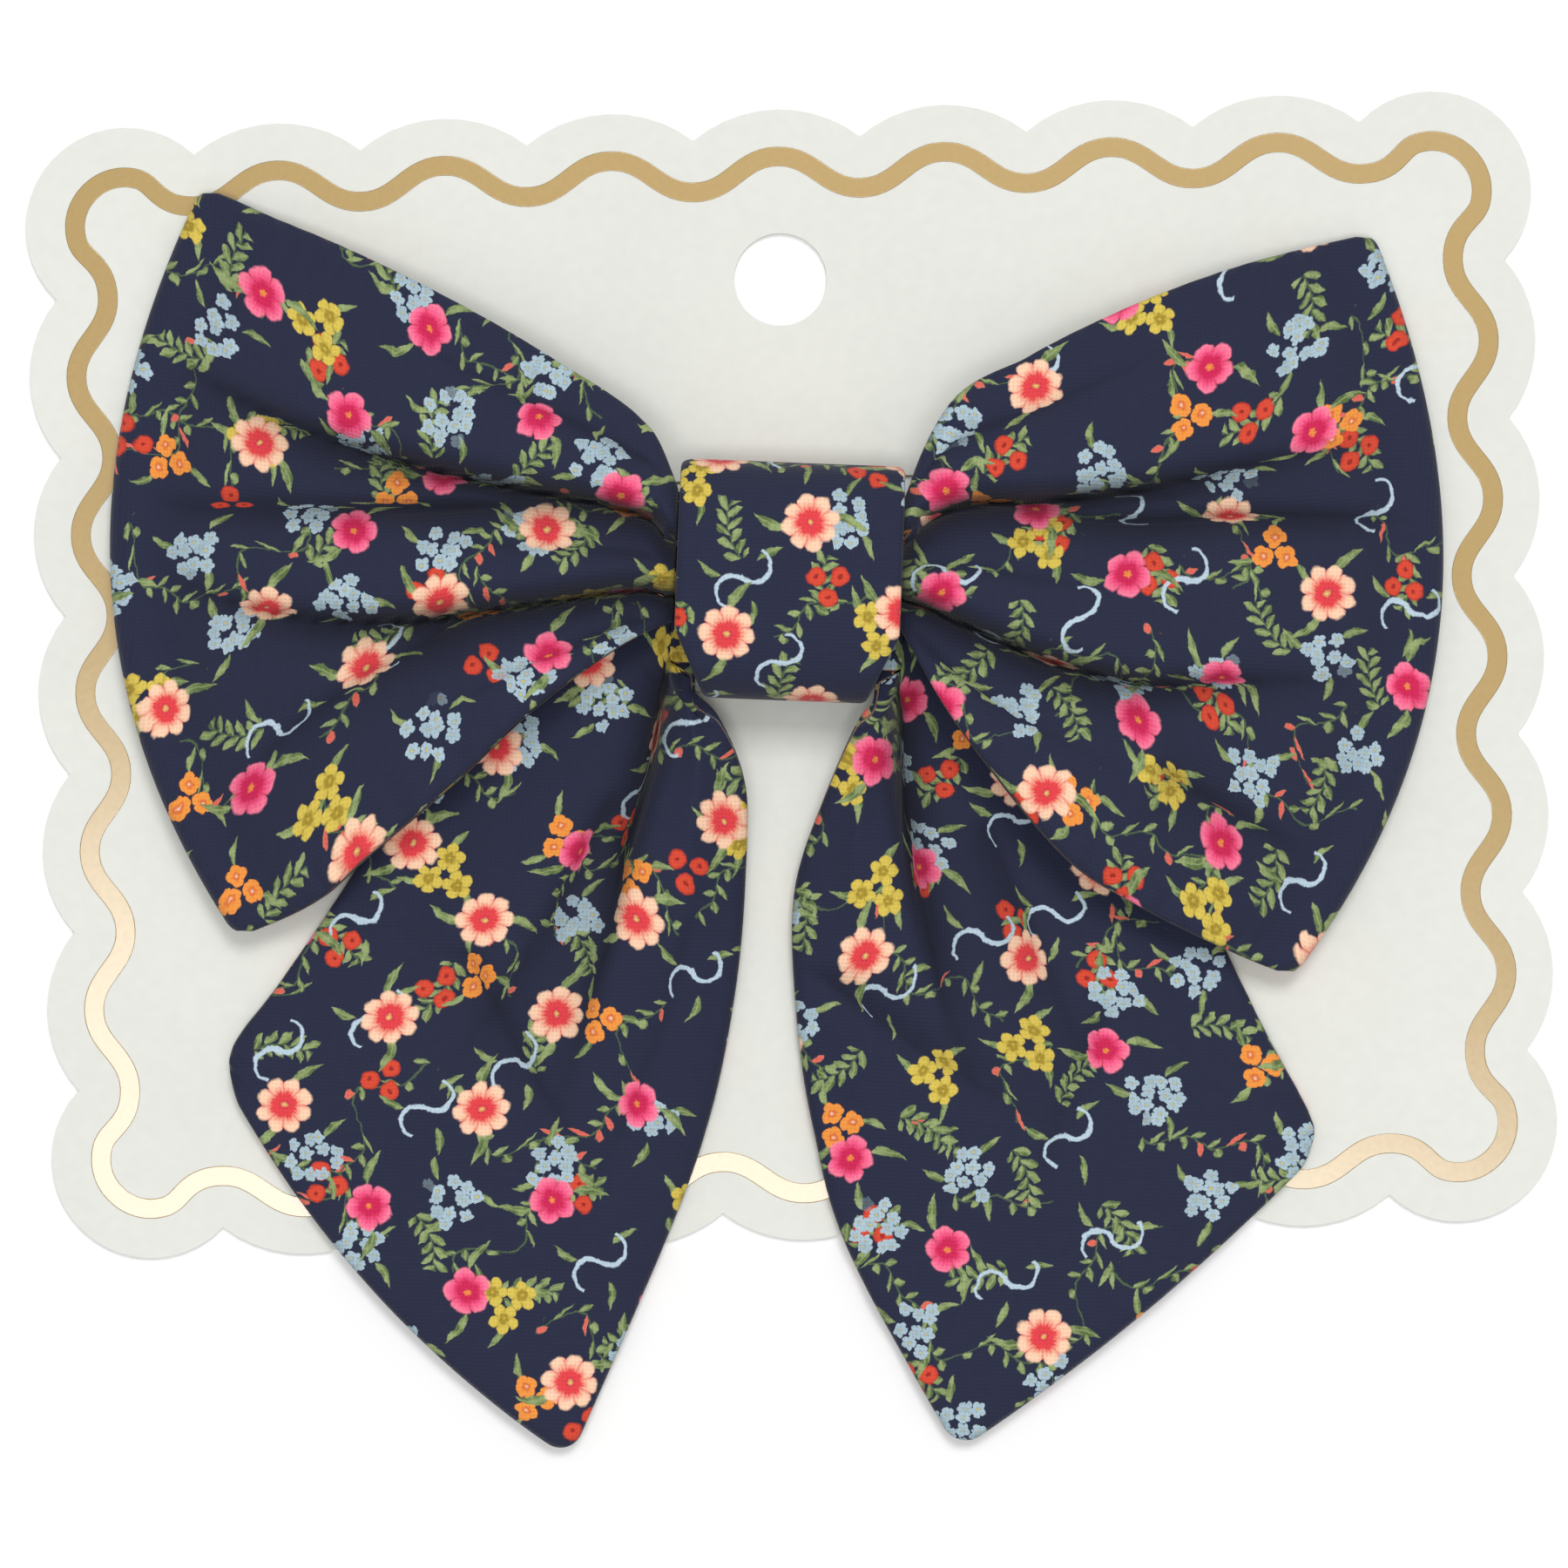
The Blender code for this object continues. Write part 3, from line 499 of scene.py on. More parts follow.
def make_loop(name, side, reach, rows, folds, seed, print_at):
    """A loop: one cloth strip from the knot out to a crease and back, open along its two edges."""
    column = crowded(LOOP_COLUMNS)[None, :]
    far = reach - LOOP_CLOTH / 2
    neck_low = -LOOP_NECK_LOW_SHARE * KNOT_INNER_HALF

    def plan(along):
        at = columns_at(rows, along)
        top_x = between(KNOT_MOUTH, far, at.top_out)
        low_x = between(KNOT_MOUTH, far, at.low_out)
        top_y = between(NECK_HALF, LOOP_HALF_HEIGHT, at.top_up)
        low_y = between(neck_low, -LOOP_HALF_HEIGHT, at.low_up)
        bend = 4 * column * (1 - column) * (1 + LOOP_BULGE_SKEW * (2 * column - 1))
        x = between(top_x, low_x, column) + LOOP_BULGE * at.bulge * bend
        y = between(top_y, low_y, column)
        seat = between(at.top_seat, at.low_seat, column)
        back = between(CLOTH_REST, LOOP_NECK, seat) + LOOP_CLOTH / 2
        dome = np.sin(math.pi * column) ** LOOP_FULLNESS
        air = np.where(along <= 0, NECK_AIR, LOOP_AIR) * between(at.edge_air, at.mid_air, dome)
        return x, y, back, back + LOOP_CLOTH, air, top_y - low_y

    front_along = np.linspace(0.0, 1.0, LOOP_ROWS)[:, None]
    back_along = np.linspace(1.0, 0.0, LOOP_ROWS // 2)[:, None]
    x, y, back, under, air, width = plan(front_along)
    relief = fold_relief(folds, front_along, column, width)
    ripple = RIPPLE_DEPTH * ripples(seed, front_along, column)
    relief = relief + ripple * ease(front_along / LOOP_RIPPLES_BY)
    wave = pucker(seed, front_along * reach, edge_distance(column, width))
    relief = np.maximum(air + relief + wave * ease(front_along / LOOP_PUCKERS_BY), GAP) - air
    edge_x, edge_y, edge_z = x[-1], y[-1], back[-1] + CREASE_RADIUS
    closing = ease((front_along - LOOP_CLOSES) / (1.0 - LOOP_CLOSES))
    front = between(under + air, edge_z + CREASE_RADIUS, closing)
    x = x - CREASE_RADIUS * closing
    runs, widths = [np.stack([x, y, front], -1)], [width]
    for i in range(1, CREASE_STEPS):
        turn = math.pi / 2 - math.pi * i / CREASE_STEPS
        out = edge_x - CREASE_RADIUS * (1 - math.cos(turn))
        height = edge_z + CREASE_RADIUS * math.sin(turn)
        runs.append(np.stack([out, edge_y, height], -1)[None])
        widths.append(width[-1:])
    x, y, back, _, _, width = plan(back_along)
    x = x - CREASE_RADIUS * ease((back_along - LOOP_CLOSES) / (1.0 - LOOP_CLOSES))
    runs.append(np.stack([x, y, back], -1))
    widths.append(width)
    smooth = np.concatenate(runs)
    first, last = smooth[:1].copy(), smooth[-1:].copy()
    first[..., 0] = last[..., 0] = GAP
    smooth = np.concatenate([first, smooth, last])
    grid = smooth.copy()
    front_rows = slice(1, LOOP_ROWS + 1)
    grid[front_rows, :, 2] += relief * (1.0 - closing)
    grid[0, :, 2] = grid[1, :, 2]
    width = np.concatenate([widths[0][:1]] + widths + [widths[-1][-1:]])
    half = rounded(edge_distance(column, width), LOOP_CLOTH / 2)
    half[[0, -1]] = 0.0
    hidden = np.zeros(half.shape)
    hidden[front_rows] = tucked(folds, front_along, column, width[front_rows])
    hidden[0] = hidden[1]
    # Shade painted along the loop's valleys, faded out where the loop turns over at its far end
    painted_shade = np.zeros(half.shape)
    painted_shade[front_rows] = painted_crease_shade(folds, front_along, column, width[front_rows]) * (1.0 - closing)
    cloth = print_place(grid, hidden)
    turning = grid[LOOP_ROWS : LOOP_ROWS + CREASE_STEPS + 1]
    arc = 1000 * np.cumsum(np.linalg.norm(np.diff(turning, axis=0), axis=-1), axis=0)
    behind = slice(LOOP_ROWS + CREASE_STEPS, None)
    cloth[behind, :, 0] = 2000 * grid[LOOP_ROWS, :, 0] - cloth[behind, :, 0] + arc[-1]
    cloth[LOOP_ROWS + 1 : LOOP_ROWS + CREASE_STEPS, :, 0] = cloth[LOOP_ROWS, :, 0] + arc[:-1]
    return one_side(name, side, grid, smooth, half, cloth * (side, 1) + print_at, painted_shade)


def with_round_corners(x, y, from_outer, from_inner):
    """Rounds off a tail's two end corners, by drawing each corner's cloth in towards an arc."""
    place = np.stack([x, y], -1)
    ahead, aside = np.gradient(place, axis=0), np.gradient(place, axis=1)
    to_end = np.cumsum(np.linalg.norm(ahead, axis=-1)[::-1], axis=0)[::-1]
    ahead /= np.linalg.norm(ahead, axis=-1, keepdims=True)
    aside /= np.linalg.norm(aside, axis=-1, keepdims=True)
    near_end = np.clip(1.0 - (to_end - to_end[-1:]) / TAIL_CORNER_ROUND, 0.0, 1.0)
    for distance, sign in ((from_outer, -1.0), (from_inner, 1.0)):
        near_side = np.clip(1.0 - distance / TAIL_CORNER_ROUND, 0.0, 1.0)
        back = near_end * (1.0 - np.sqrt(1.0 - near_side**2 / 2)) * TAIL_CORNER_ROUND
        inward = near_side * (1.0 - np.sqrt(1.0 - near_end**2 / 2)) * TAIL_CORNER_ROUND
        place = place - back[..., None] * ahead - sign * inward[..., None] * aside
    return place[..., 0], place[..., 1]


def make_tail(name, side, rows, folds, seed, print_at):
    """A tail: a strip of double cloth that leaves the knot sideways, turns down and lies flat."""
    column = crowded(TAIL_COLUMNS)[None, :]
    along = (rows[0].along + (1.0 - rows[0].along) * crowded(TAIL_ROWS, 0.6))[:, None]
    knot_low = KNOT_HEIGHT / 2
    at = columns_at(rows, along)
    outer_x = between(KNOT_MOUTH, TAIL_SPREAD, at.outer_out)
    inner_x = between(KNOT_MOUTH, TAIL_SPREAD, at.inner_out)
    outer_y = -between(knot_low, TAIL_LENGTH, at.outer_down)
    inner_y = -between(knot_low, TAIL_LENGTH, at.inner_down)
    reach = np.hypot(inner_x - outer_x, inner_y - outer_y)
    bend = TAIL_BULGE * at.bulge * 4 * column * (1 - column)
    x = between(outer_x, inner_x, column) + bend * np.abs(inner_y - outer_y) / reach
    y = between(outer_y, inner_y, column) - bend * np.abs(inner_x - outer_x) / reach
    x, y = with_round_corners(x, y, reach * column, reach * (1 - column))
    lift = between(at.outer_lift, at.inner_lift, column**NECK_RIDGE_POWER)
    z = between(CLOTH_REST, TAIL_NECK, lift) + TAIL_CLOTH / 2
    loft = TAIL_LOFT * at.loft * np.sin(math.pi * column**TAIL_LOFT_SKEW)
    relief = loft + fold_relief(folds, along, column, reach)
    free = ease((along - TAIL_FREE_FROM) / TAIL_FREE_OVER)
    relief = relief + RIPPLE_DEPTH * (1 + ripples(seed, along, column)) * free
    edge = np.minimum(edge_distance(column, reach), (1.0 - along) * TAIL_LENGTH)
    wave = pucker(seed, along * TAIL_LENGTH, edge_distance(column, reach))
    relief = relief + (PUCKER_DEPTH + wave) * free
    sinking = ease((along - VALLEYS_SINK_FROM) / VALLEYS_SINK_OVER)
    lowest = (CLOTH_REST + TAIL_CLOTH / 2 - z) * sinking
    body = np.stack([x, y, z + np.maximum(relief, lowest)], -1)
    level = np.stack([x, y, z], -1)
    neck_top = TAIL_NECK_TOP_SHARE * KNOT_INNER_HALF
    neck = np.zeros((2, TAIL_COLUMNS + 1, 3))
    neck[..., 0] = np.array([GAP, KNOT_MOUTH])[:, None]
    neck[..., 1] = between(neck_top, -NECK_HALF, column)
    neck[..., 2] = between(TAIL_NECK, LOOP_NECK, column**NECK_RIDGE_POWER) + TAIL_CLOTH / 2
    smooth = np.concatenate([neck, level])
    neck[..., 2] += fold_relief(folds, np.zeros((2, 1)), column, neck_top + NECK_HALF)
    grid = np.concatenate([neck, body])
    neck_edge = edge_distance(column, neck_top + NECK_HALF) * np.ones((2, 1))
    half = rounded(np.concatenate([neck_edge, edge]), TAIL_CLOTH / 2)
    half[[0, -1]] = 0.0
    hidden = np.concatenate([np.zeros(neck.shape[:2]), tucked(folds, along, column, reach)])
    # Shade painted along the tail's valleys; none on the neck
    painted_shade = np.concatenate([np.zeros(neck.shape[:2]), painted_crease_shade(folds, along, column, reach)])
    cloth = print_place(grid, hidden) * (side, 1) + print_at
    return one_side(name, side, grid, smooth, half, cloth, painted_shade)


def make_knot(name, print_at):
    """The wrapped band: a rounded oblong ring whose axis runs along the bow, slightly creased."""
    across = crowded(BAND_COLUMNS)[None, :]
    turns = np.linspace(0.0, 2 * math.pi, BAND_STEPS, endpoint=False)[:, None]
    power = 2.0 / BAND_ROUNDNESS
    half_y = (KNOT_HEIGHT - BAND_CLOTH) / 2
    half_z = (KNOT_DEPTH - BAND_CLOTH) / 2
    grid = np.zeros((BAND_STEPS, BAND_COLUMNS + 1, 3))
    grid[..., 1] = half_y * np.sign(np.cos(turns)) * np.abs(np.cos(turns)) ** power
    taper = np.clip((-grid[..., 1] - KNOT_TAPERS_BELOW) / (half_y - KNOT_TAPERS_BELOW), 0.0, 1.0)
    grid[..., 0] = between(KNOT_SIDE, KNOT_FOOT_WIDTH / 2, taper) * (2 * across - 1)
    grid[..., 2] = half_z * np.sign(np.sin(turns)) * np.abs(np.sin(turns)) ** power
    run = run_along(grid[:, 0])
    front = ease(np.sin(turns) * 3)
    swell = KNOT_SWELL * np.sin(math.pi * across) + KNOT_RIPPLE * ripples(5, turns / 6, across)
    grid[..., 2] += (swell + pucker(7, run, edge_distance(across, KNOT_WIDTH)) * 0.5) * front
    grid[..., 2] += BAND_BOTTOM + KNOT_DEPTH / 2
    half = rounded(edge_distance(across, KNOT_WIDTH), BAND_CLOTH / 2) * np.ones_like(run)
    cloth = np.stack([grid[..., 0], -run * np.ones_like(across)], -1) * 1000 + print_at
    return shell(name, in_row_frame(grid), half, cloth, ring=True)


def make_elastic(name, side):
    """A ribbed elastic loop: cords run its whole length, and it goes round the card's strip."""
    high, low = ELASTIC_TOP - ELASTIC_THICKNESS / 2, BACK_INSET + ELASTIC_THICKNESS / 2
    half_y = COLLAR_WIDTH / 2 + ELASTIC_THICKNESS / 2
    radius = (high - low) / 2 * ELASTIC_ROUNDNESS
    run = []
    corners = ((half_y, high), (-half_y, high), (-half_y, low), (half_y, low))
    for quarter, (y, z) in enumerate(corners):
        centre = (y - math.copysign(radius, y), z + (radius if z == low else -radius))
        for i in range(ELASTIC_CORNER_STEPS + 1):
            turn = (quarter + i / ELASTIC_CORNER_STEPS) * math.pi / 2
            run.append((centre[0] + radius * math.cos(turn), centre[1] + radius * math.sin(turn)))
    across = np.linspace(0.0, 1.0, ELASTIC_RIBS * STEPS_PER_RIB + 1)[None, :]
    run = np.array(run)
    grid = np.zeros((len(run), across.shape[1], 3))
    grid[..., 0] = side * ELASTIC_X + between(-ELASTIC_WIDTH / 2, ELASTIC_WIDTH / 2, across)
    grid[..., 1], grid[..., 2] = run[:, :1], run[:, 1:]
    cord = 1 - RIB_GROOVE + RIB_GROOVE * np.abs(np.sin(math.pi * ELASTIC_RIBS * across))
    edge = np.clip(edge_distance(across, ELASTIC_WIDTH) / ELASTIC_EDGE, 0.0, 1.0)
    half = ELASTIC_THICKNESS / 2 * cord * np.sqrt(1 - (1 - edge) ** 2) * np.ones((len(run), 1))
    cloth = np.stack([grid[..., 0], run_along(run) * np.ones_like(across)], -1) * 1000
    grid += KNOT_CENTRE
    return shell(name, grid, half, cloth, ring=True)


# The gold line

Corner = namedtuple("Corner", "x y turn reach")


def foil_corners():
    """Places that the gold line passes through, with its direction and its handle there."""
    half_x = (CARD_HIGH.x - CARD_LOW.x) / 2 - CARD_CORNER_RADIUS
    half_y = (CARD_HIGH.y - CARD_LOW.y) / 2 - CARD_CORNER_RADIUS
    cusp = CARD_CORNER_RADIUS * math.sqrt(0.5)
    crest = CARD_CORNER_RADIUS - FOIL_CREST_INSET
    round_handle = 0.5523 * FOIL_CORNER_RADIUS
    found = []
    for side in range(4):
        long, up = (half_x, half_y) if side % 2 == 0 else (half_y, half_x)
        count = SCALLOPS_ALONG_WIDTH if side % 2 == 0 else SCALLOPS_ALONG_HEIGHT
        step = (long - cusp) / count
        turn = side * math.pi / 2
        local = []
        for angle in (-math.pi / 12, math.pi / 4, 7 * math.pi / 12):
            x = long + FOIL_CORNER_RADIUS * math.cos(angle)
            y = up + FOIL_CORNER_RADIUS * math.sin(angle)
            local.append((x, y, angle + math.pi / 2, round_handle * 2 / 3))
        for i in range(2 * count + 1):
            height = crest if i % 2 else crest - FOIL_WAVE
            local.append((long - cusp - i * step, up + height, math.pi, FOIL_WAVE_HANDLE * step))
        c, s = math.cos(turn), math.sin(turn)
        found += [Corner(x * c - y * s, x * s + y * c, a + turn, reach) for x, y, a, reach in local]
    return found


def make_foil(name):
    """The stamped gold line: a thin ribbon on the card, along a smooth closed curve."""
    path = []
    corners = foil_corners()
    for here, there in zip(corners, corners[1:] + corners[:1]):
        a, d = np.array([here.x, here.y]), np.array([there.x, there.y])
        b = a + here.reach * np.array([math.cos(here.turn), math.sin(here.turn)])
        c = d - there.reach * np.array([math.cos(there.turn), math.sin(there.turn)])
        for t in np.linspace(0.0, 1.0, FOIL_STEPS, endpoint=False):
            near, far = (1 - t) ** 3 * a + 3 * t * (1 - t) ** 2 * b, 3 * t * t * (1 - t) * c
            path.append(near + far + t**3 * d)
    path = np.array(path)
    ahead = np.roll(path, -1, axis=0) - np.roll(path, 1, axis=0)
    ahead /= np.linalg.norm(ahead, axis=1, keepdims=True)
    side = np.stack([-ahead[:, 1], ahead[:, 0]], -1)
    offset = np.array(FOIL_ACROSS)
    grid = np.zeros((len(path), len(offset), 3))
    grid[..., :2] = path[:, None] + side[:, None] * (offset * FOIL_WIDTH)[None, :, None]
    grid[..., 2] = CARD_THICKNESS + FOIL_HEIGHT / 2
    half = np.full(grid.shape[:2], FOIL_HEIGHT / 2)
    half[:, [0, -1]] = 0.0
    return shell(name, grid + CARD_CENTRE, half, grid[..., :2] * 1000, ring=True)


# Materials

def arithmetic(operation):
    """The method for that operation, and the one for a value on its right-hand side."""
    return (
        lambda value, other: calc(operation, value, other),
        lambda value, other: calc(operation, other, value),
    )


class Value:
    """A number worked out by a material's nodes, written as ordinary arithmetic."""

    __add__, __radd__ = arithmetic("ADD")
    __sub__, __rsub__ = arithmetic("SUBTRACT")
    __mul__, __rmul__ = arithmetic("MULTIPLY")
    __truediv__, __rtruediv__ = arithmetic("DIVIDE")

    def __init__(self, socket):
        self.socket = socket


def tree_of(*terms):
    return next(term.socket.id_data for term in terms if isinstance(term, Value))


def connect(tree, source, socket):
    if isinstance(source, Value):
        tree.links.new(source.socket, socket)
    elif isinstance(source, bpy.types.NodeSocket):
        tree.links.new(source, socket)
    else:
        socket.default_value = source


def new_node(tree, kind, *terms, **settings):
    """A node of that kind with its settings, and its first inputs linked or set."""
    node = tree.nodes.new("ShaderNode" + kind)
    for name, value in settings.items():
        setattr(node, name, value)
    for term, socket in zip(terms, node.inputs):
        connect(tree, term, socket)
    return node


def calc(operation, *terms, clamp=False):
    node = new_node(tree_of(*terms), "Math", *terms, operation=operation, use_clamp=clamp)
    return Value(node.outputs[0])


def inside(value, edge, soft=0.08):
    """1 where value is below edge, 0 above it, and soft wide between."""
    return calc("MULTIPLY_ADD", edge - value, 1.0 / soft, 0.5, clamp=True)


def above(value, limit):
    return calc("GREATER_THAN", value, limit)


def chosen(chance, low, high):
    """1 in the cells whose chance lies between low and high."""
    return above(chance, low) * calc("LESS_THAN", chance, high)


def length(x, y):
    return calc("SQRT", x * x + y * y)


def polar(x, y):
    return length(x, y), calc("ARCTAN2", y, x)


def vector(tree, operation, *terms):
    return new_node(tree, "VectorMath", *terms, operation=operation).outputs["Vector"]


def parts_of(tree, source):
    return [Value(socket) for socket in new_node(tree, "SeparateXYZ", source).outputs]


def joined(tree, *terms):
    return new_node(tree, "CombineXYZ", *terms).outputs[0]


def mapped(tree, place, turn, shift=(0.0, 0.0), cell=1.0):
    """The cloth's x and y, turned, counted in cells and shifted."""
    scale = (1 / cell, 1 / cell, 0.0)
    node = new_node(tree, "Mapping", place, (*shift, 0.0), (0.0, 0.0, turn), scale)
    return node.outputs[0]


def chances(tree, place, dimensions):
    """Three random numbers that belong to a place."""
    node = new_node(tree, "TexWhiteNoise", place, noise_dimensions=dimensions)
    return parts_of(tree, node.outputs["Color"])


def set_inputs(node, values):
    for name, value in values.items():
        node.inputs[name].default_value = value


def mix(under, over, share):
    tree = tree_of(share)
    node = new_node(tree, "Mix", share, data_type="RGBA")
    connect(tree, under, node.inputs[6])
    connect(tree, over, node.inputs[7])
    return node.outputs[2]


def ramp(value, *stops):
    """A colour read from stops, each a place from 0 to 1 and a colour."""
    node = new_node(tree_of(value), "ValToRGB", value)
    colours = node.color_ramp
    while len(colours.elements) < len(stops):
        colours.elements.new(0.5)
    for element, (place, colour) in zip(colours.elements, stops):
        element.position = place
        element.color = colour
    return node.outputs[0]


def noise_at(tree, place, scale, detail):
    node = new_node(tree, "TexNoise", place)
    set_inputs(node, {"Scale": scale, "Detail": detail})
    return node.outputs


def attribute(tree, name):
    return new_node(tree, "Attribute", attribute_name=name).outputs


def srgb(red, green, blue):
    """A colour given as a screen shows it, from 0 to 255."""
    share = [c / 255 for c in (red, green, blue)]
    linear = [c / 12.92 if c <= 0.04045 else ((c + 0.055) / 1.055) ** 2.4 for c in share]
    return (*linear, 1.0)


NAVY = srgb(38, 42, 65)
LEAF = srgb(92, 112, 66)
PALE_LEAF = srgb(150, 166, 112)
STEM = srgb(78, 98, 70)
SKY = srgb(174, 196, 207)
DEEP_SKY = srgb(146, 170, 184)
CREAM = srgb(252, 208, 176)
PEACH = srgb(244, 150, 128)
CORAL = srgb(226, 66, 72)
PINK = srgb(244, 84, 132)
DEEP_PINK = srgb(206, 36, 84)
YELLOW = srgb(216, 192, 84)
OLD_YELLOW = srgb(164, 140, 48)
ORANGE = srgb(240, 150, 66)
BERRY = srgb(216, 74, 52)
DARK_BERRY = srgb(160, 44, 36)
PALE_SKY = srgb(186, 206, 220)
LIGHT_PINK = srgb(252, 128, 158)
DEEP_ORANGE = srgb(214, 104, 52)
BUD = srgb(222, 104, 92)

# How far the print's shapes are drawn out of true, and how far apart a vine's leaves stand, in mm
HAND_SWAY = 0.7
LEAF_PITCH = 1.5


def scatter(tree, place, cell, turn, shift, jitter):
    """Splits the cloth into square cells. Returns x and y from the middle of each cell's motif, in
    millimetres and turned at random, and the cell's three random numbers."""
    scaled = mapped(tree, place, turn, shift, cell)
    corner = vector(tree, "FLOOR", scaled)
    first, second, third = chances(tree, corner, "2D")
    x, y, _ = parts_of(tree, vector(tree, "SUBTRACT", scaled, corner))
    x = (x - 0.5) * cell - (first - 0.5) * jitter
    y = (y - 0.5) * cell - (second - 0.5) * jitter
    angle = third * (2 * math.pi)
    c, s = calc("COSINE", angle), calc("SINE", angle)
    return x * c + y * s, y * c - x * s, first, second, third


def repeated(x, y, count, ring):
    """x and y from the nearest of count places on a ring of that radius, x pointing outwards."""
    radius, angle = polar(x, y)
    step = 2 * math.pi / count
    local = calc("FLOORED_MODULO", angle, step) - step / 2
    return radius * calc("COSINE", local) - ring, radius * calc("SINE", local)


def flower(x, y, petals, size, notch):
    """How far out a place lies in a flower, 1 at its edge, with its mask and its petal lines."""
    radius, angle = polar(x, y)
    lobe = calc("ABSOLUTE", calc("COSINE", angle * (petals / 2)))
    edge = (1 - notch) + notch * calc("POWER", lobe, 0.5)
    out = radius / (edge * size)
    return out, inside(out, 1.0, 0.10), calc("POWER", 1 - lobe, 2.5)


def leaf(x, y, long, wide):
    """A leaf from x = 0 to x = long, with its mask and a light vein."""
    share = x / (long / 2) - 1
    edge = wide / 2 * (1 - share * share)
    side = calc("ABSOLUTE", y)
    return inside(side, edge, 0.10), inside(side, 0.07, 0.10)


def sprig(x, y, bend, reach, pitch, long, wide, lean):
    """Paired leaves along a bent stem: the leaves' mask and vein, and the stem's mask."""
    radius, angle = polar(y + bend, x)
    run, aside = angle * bend, calc("ABSOLUTE", radius - bend)
    pair = calc("FRACT", run / pitch + 0.5 * above(radius, bend)) * pitch
    c, s = math.cos(lean), math.sin(lean)
    mask, vein = leaf(pair * c + aside * s, aside * c - pair * s, long, wide)
    kept = inside(calc("ABSOLUTE", run), reach, 0.05)
    return mask * kept, vein, inside(aside, 0.09, 0.08) * kept


def vine(tree, place, turn, spacing):
    """Winding stems in rows, broken off here and there: leaves, veins, stems and buds."""
    x, y, _ = parts_of(tree, mapped(tree, place, turn))
    row = calc("FLOOR", y / spacing)
    first, second, _ = chances(tree, joined(tree, row, 3.0, 5.0), "3D")
    shifted = x + first * 50
    curve = 1.7 * calc("SINE", shifted / 2.1) + 0.8 * calc("SINE", shifted / 0.93 + second * 6)
    aside = 0.85 * (y - (row + 0.5) * spacing - curve)
    stretch = calc("FLOOR", shifted / 7.5)
    present, _, _ = chances(tree, joined(tree, row, stretch, 1.0), "3D")
    on = above(present, 0.50)
    off = calc("ABSOLUTE", aside)
    step = shifted / LEAF_PITCH + 0.5 * above(aside, 0.0)
    leaf_place = joined(tree, calc("FLOOR", step), row, above(aside, 0.0))
    chance, _, _ = chances(tree, leaf_place, "3D")
    along = calc("FRACT", step) * LEAF_PITCH
    c, s = math.cos(0.85), math.sin(0.85)
    mask, vein = leaf(along * c + off * s, off * c - along * s, 1.15, 0.46)
    kept = mask * on * above(chance, 0.2)
    return kept, vein, inside(off, 0.075, 0.08) * on, above(chance, 0.86)


def scroll(x, y, radius, width):
    """A thin line in the shape of an S, made of two half rings."""
    ring = calc("ABSOLUTE", length(x + radius, y) - radius)
    other = calc("ABSOLUTE", length(x - radius, y) - radius)
    upper, lower = above(y, -0.35), calc("LESS_THAN", y, 0.35)
    taper = width * (0.55 + 0.45 * calc("COSINE", x * (math.pi / 2 / (2.2 * radius))))
    return calc("MAXIMUM", inside(ring, taper, 0.1) * upper, inside(other, taper, 0.1) * lower)


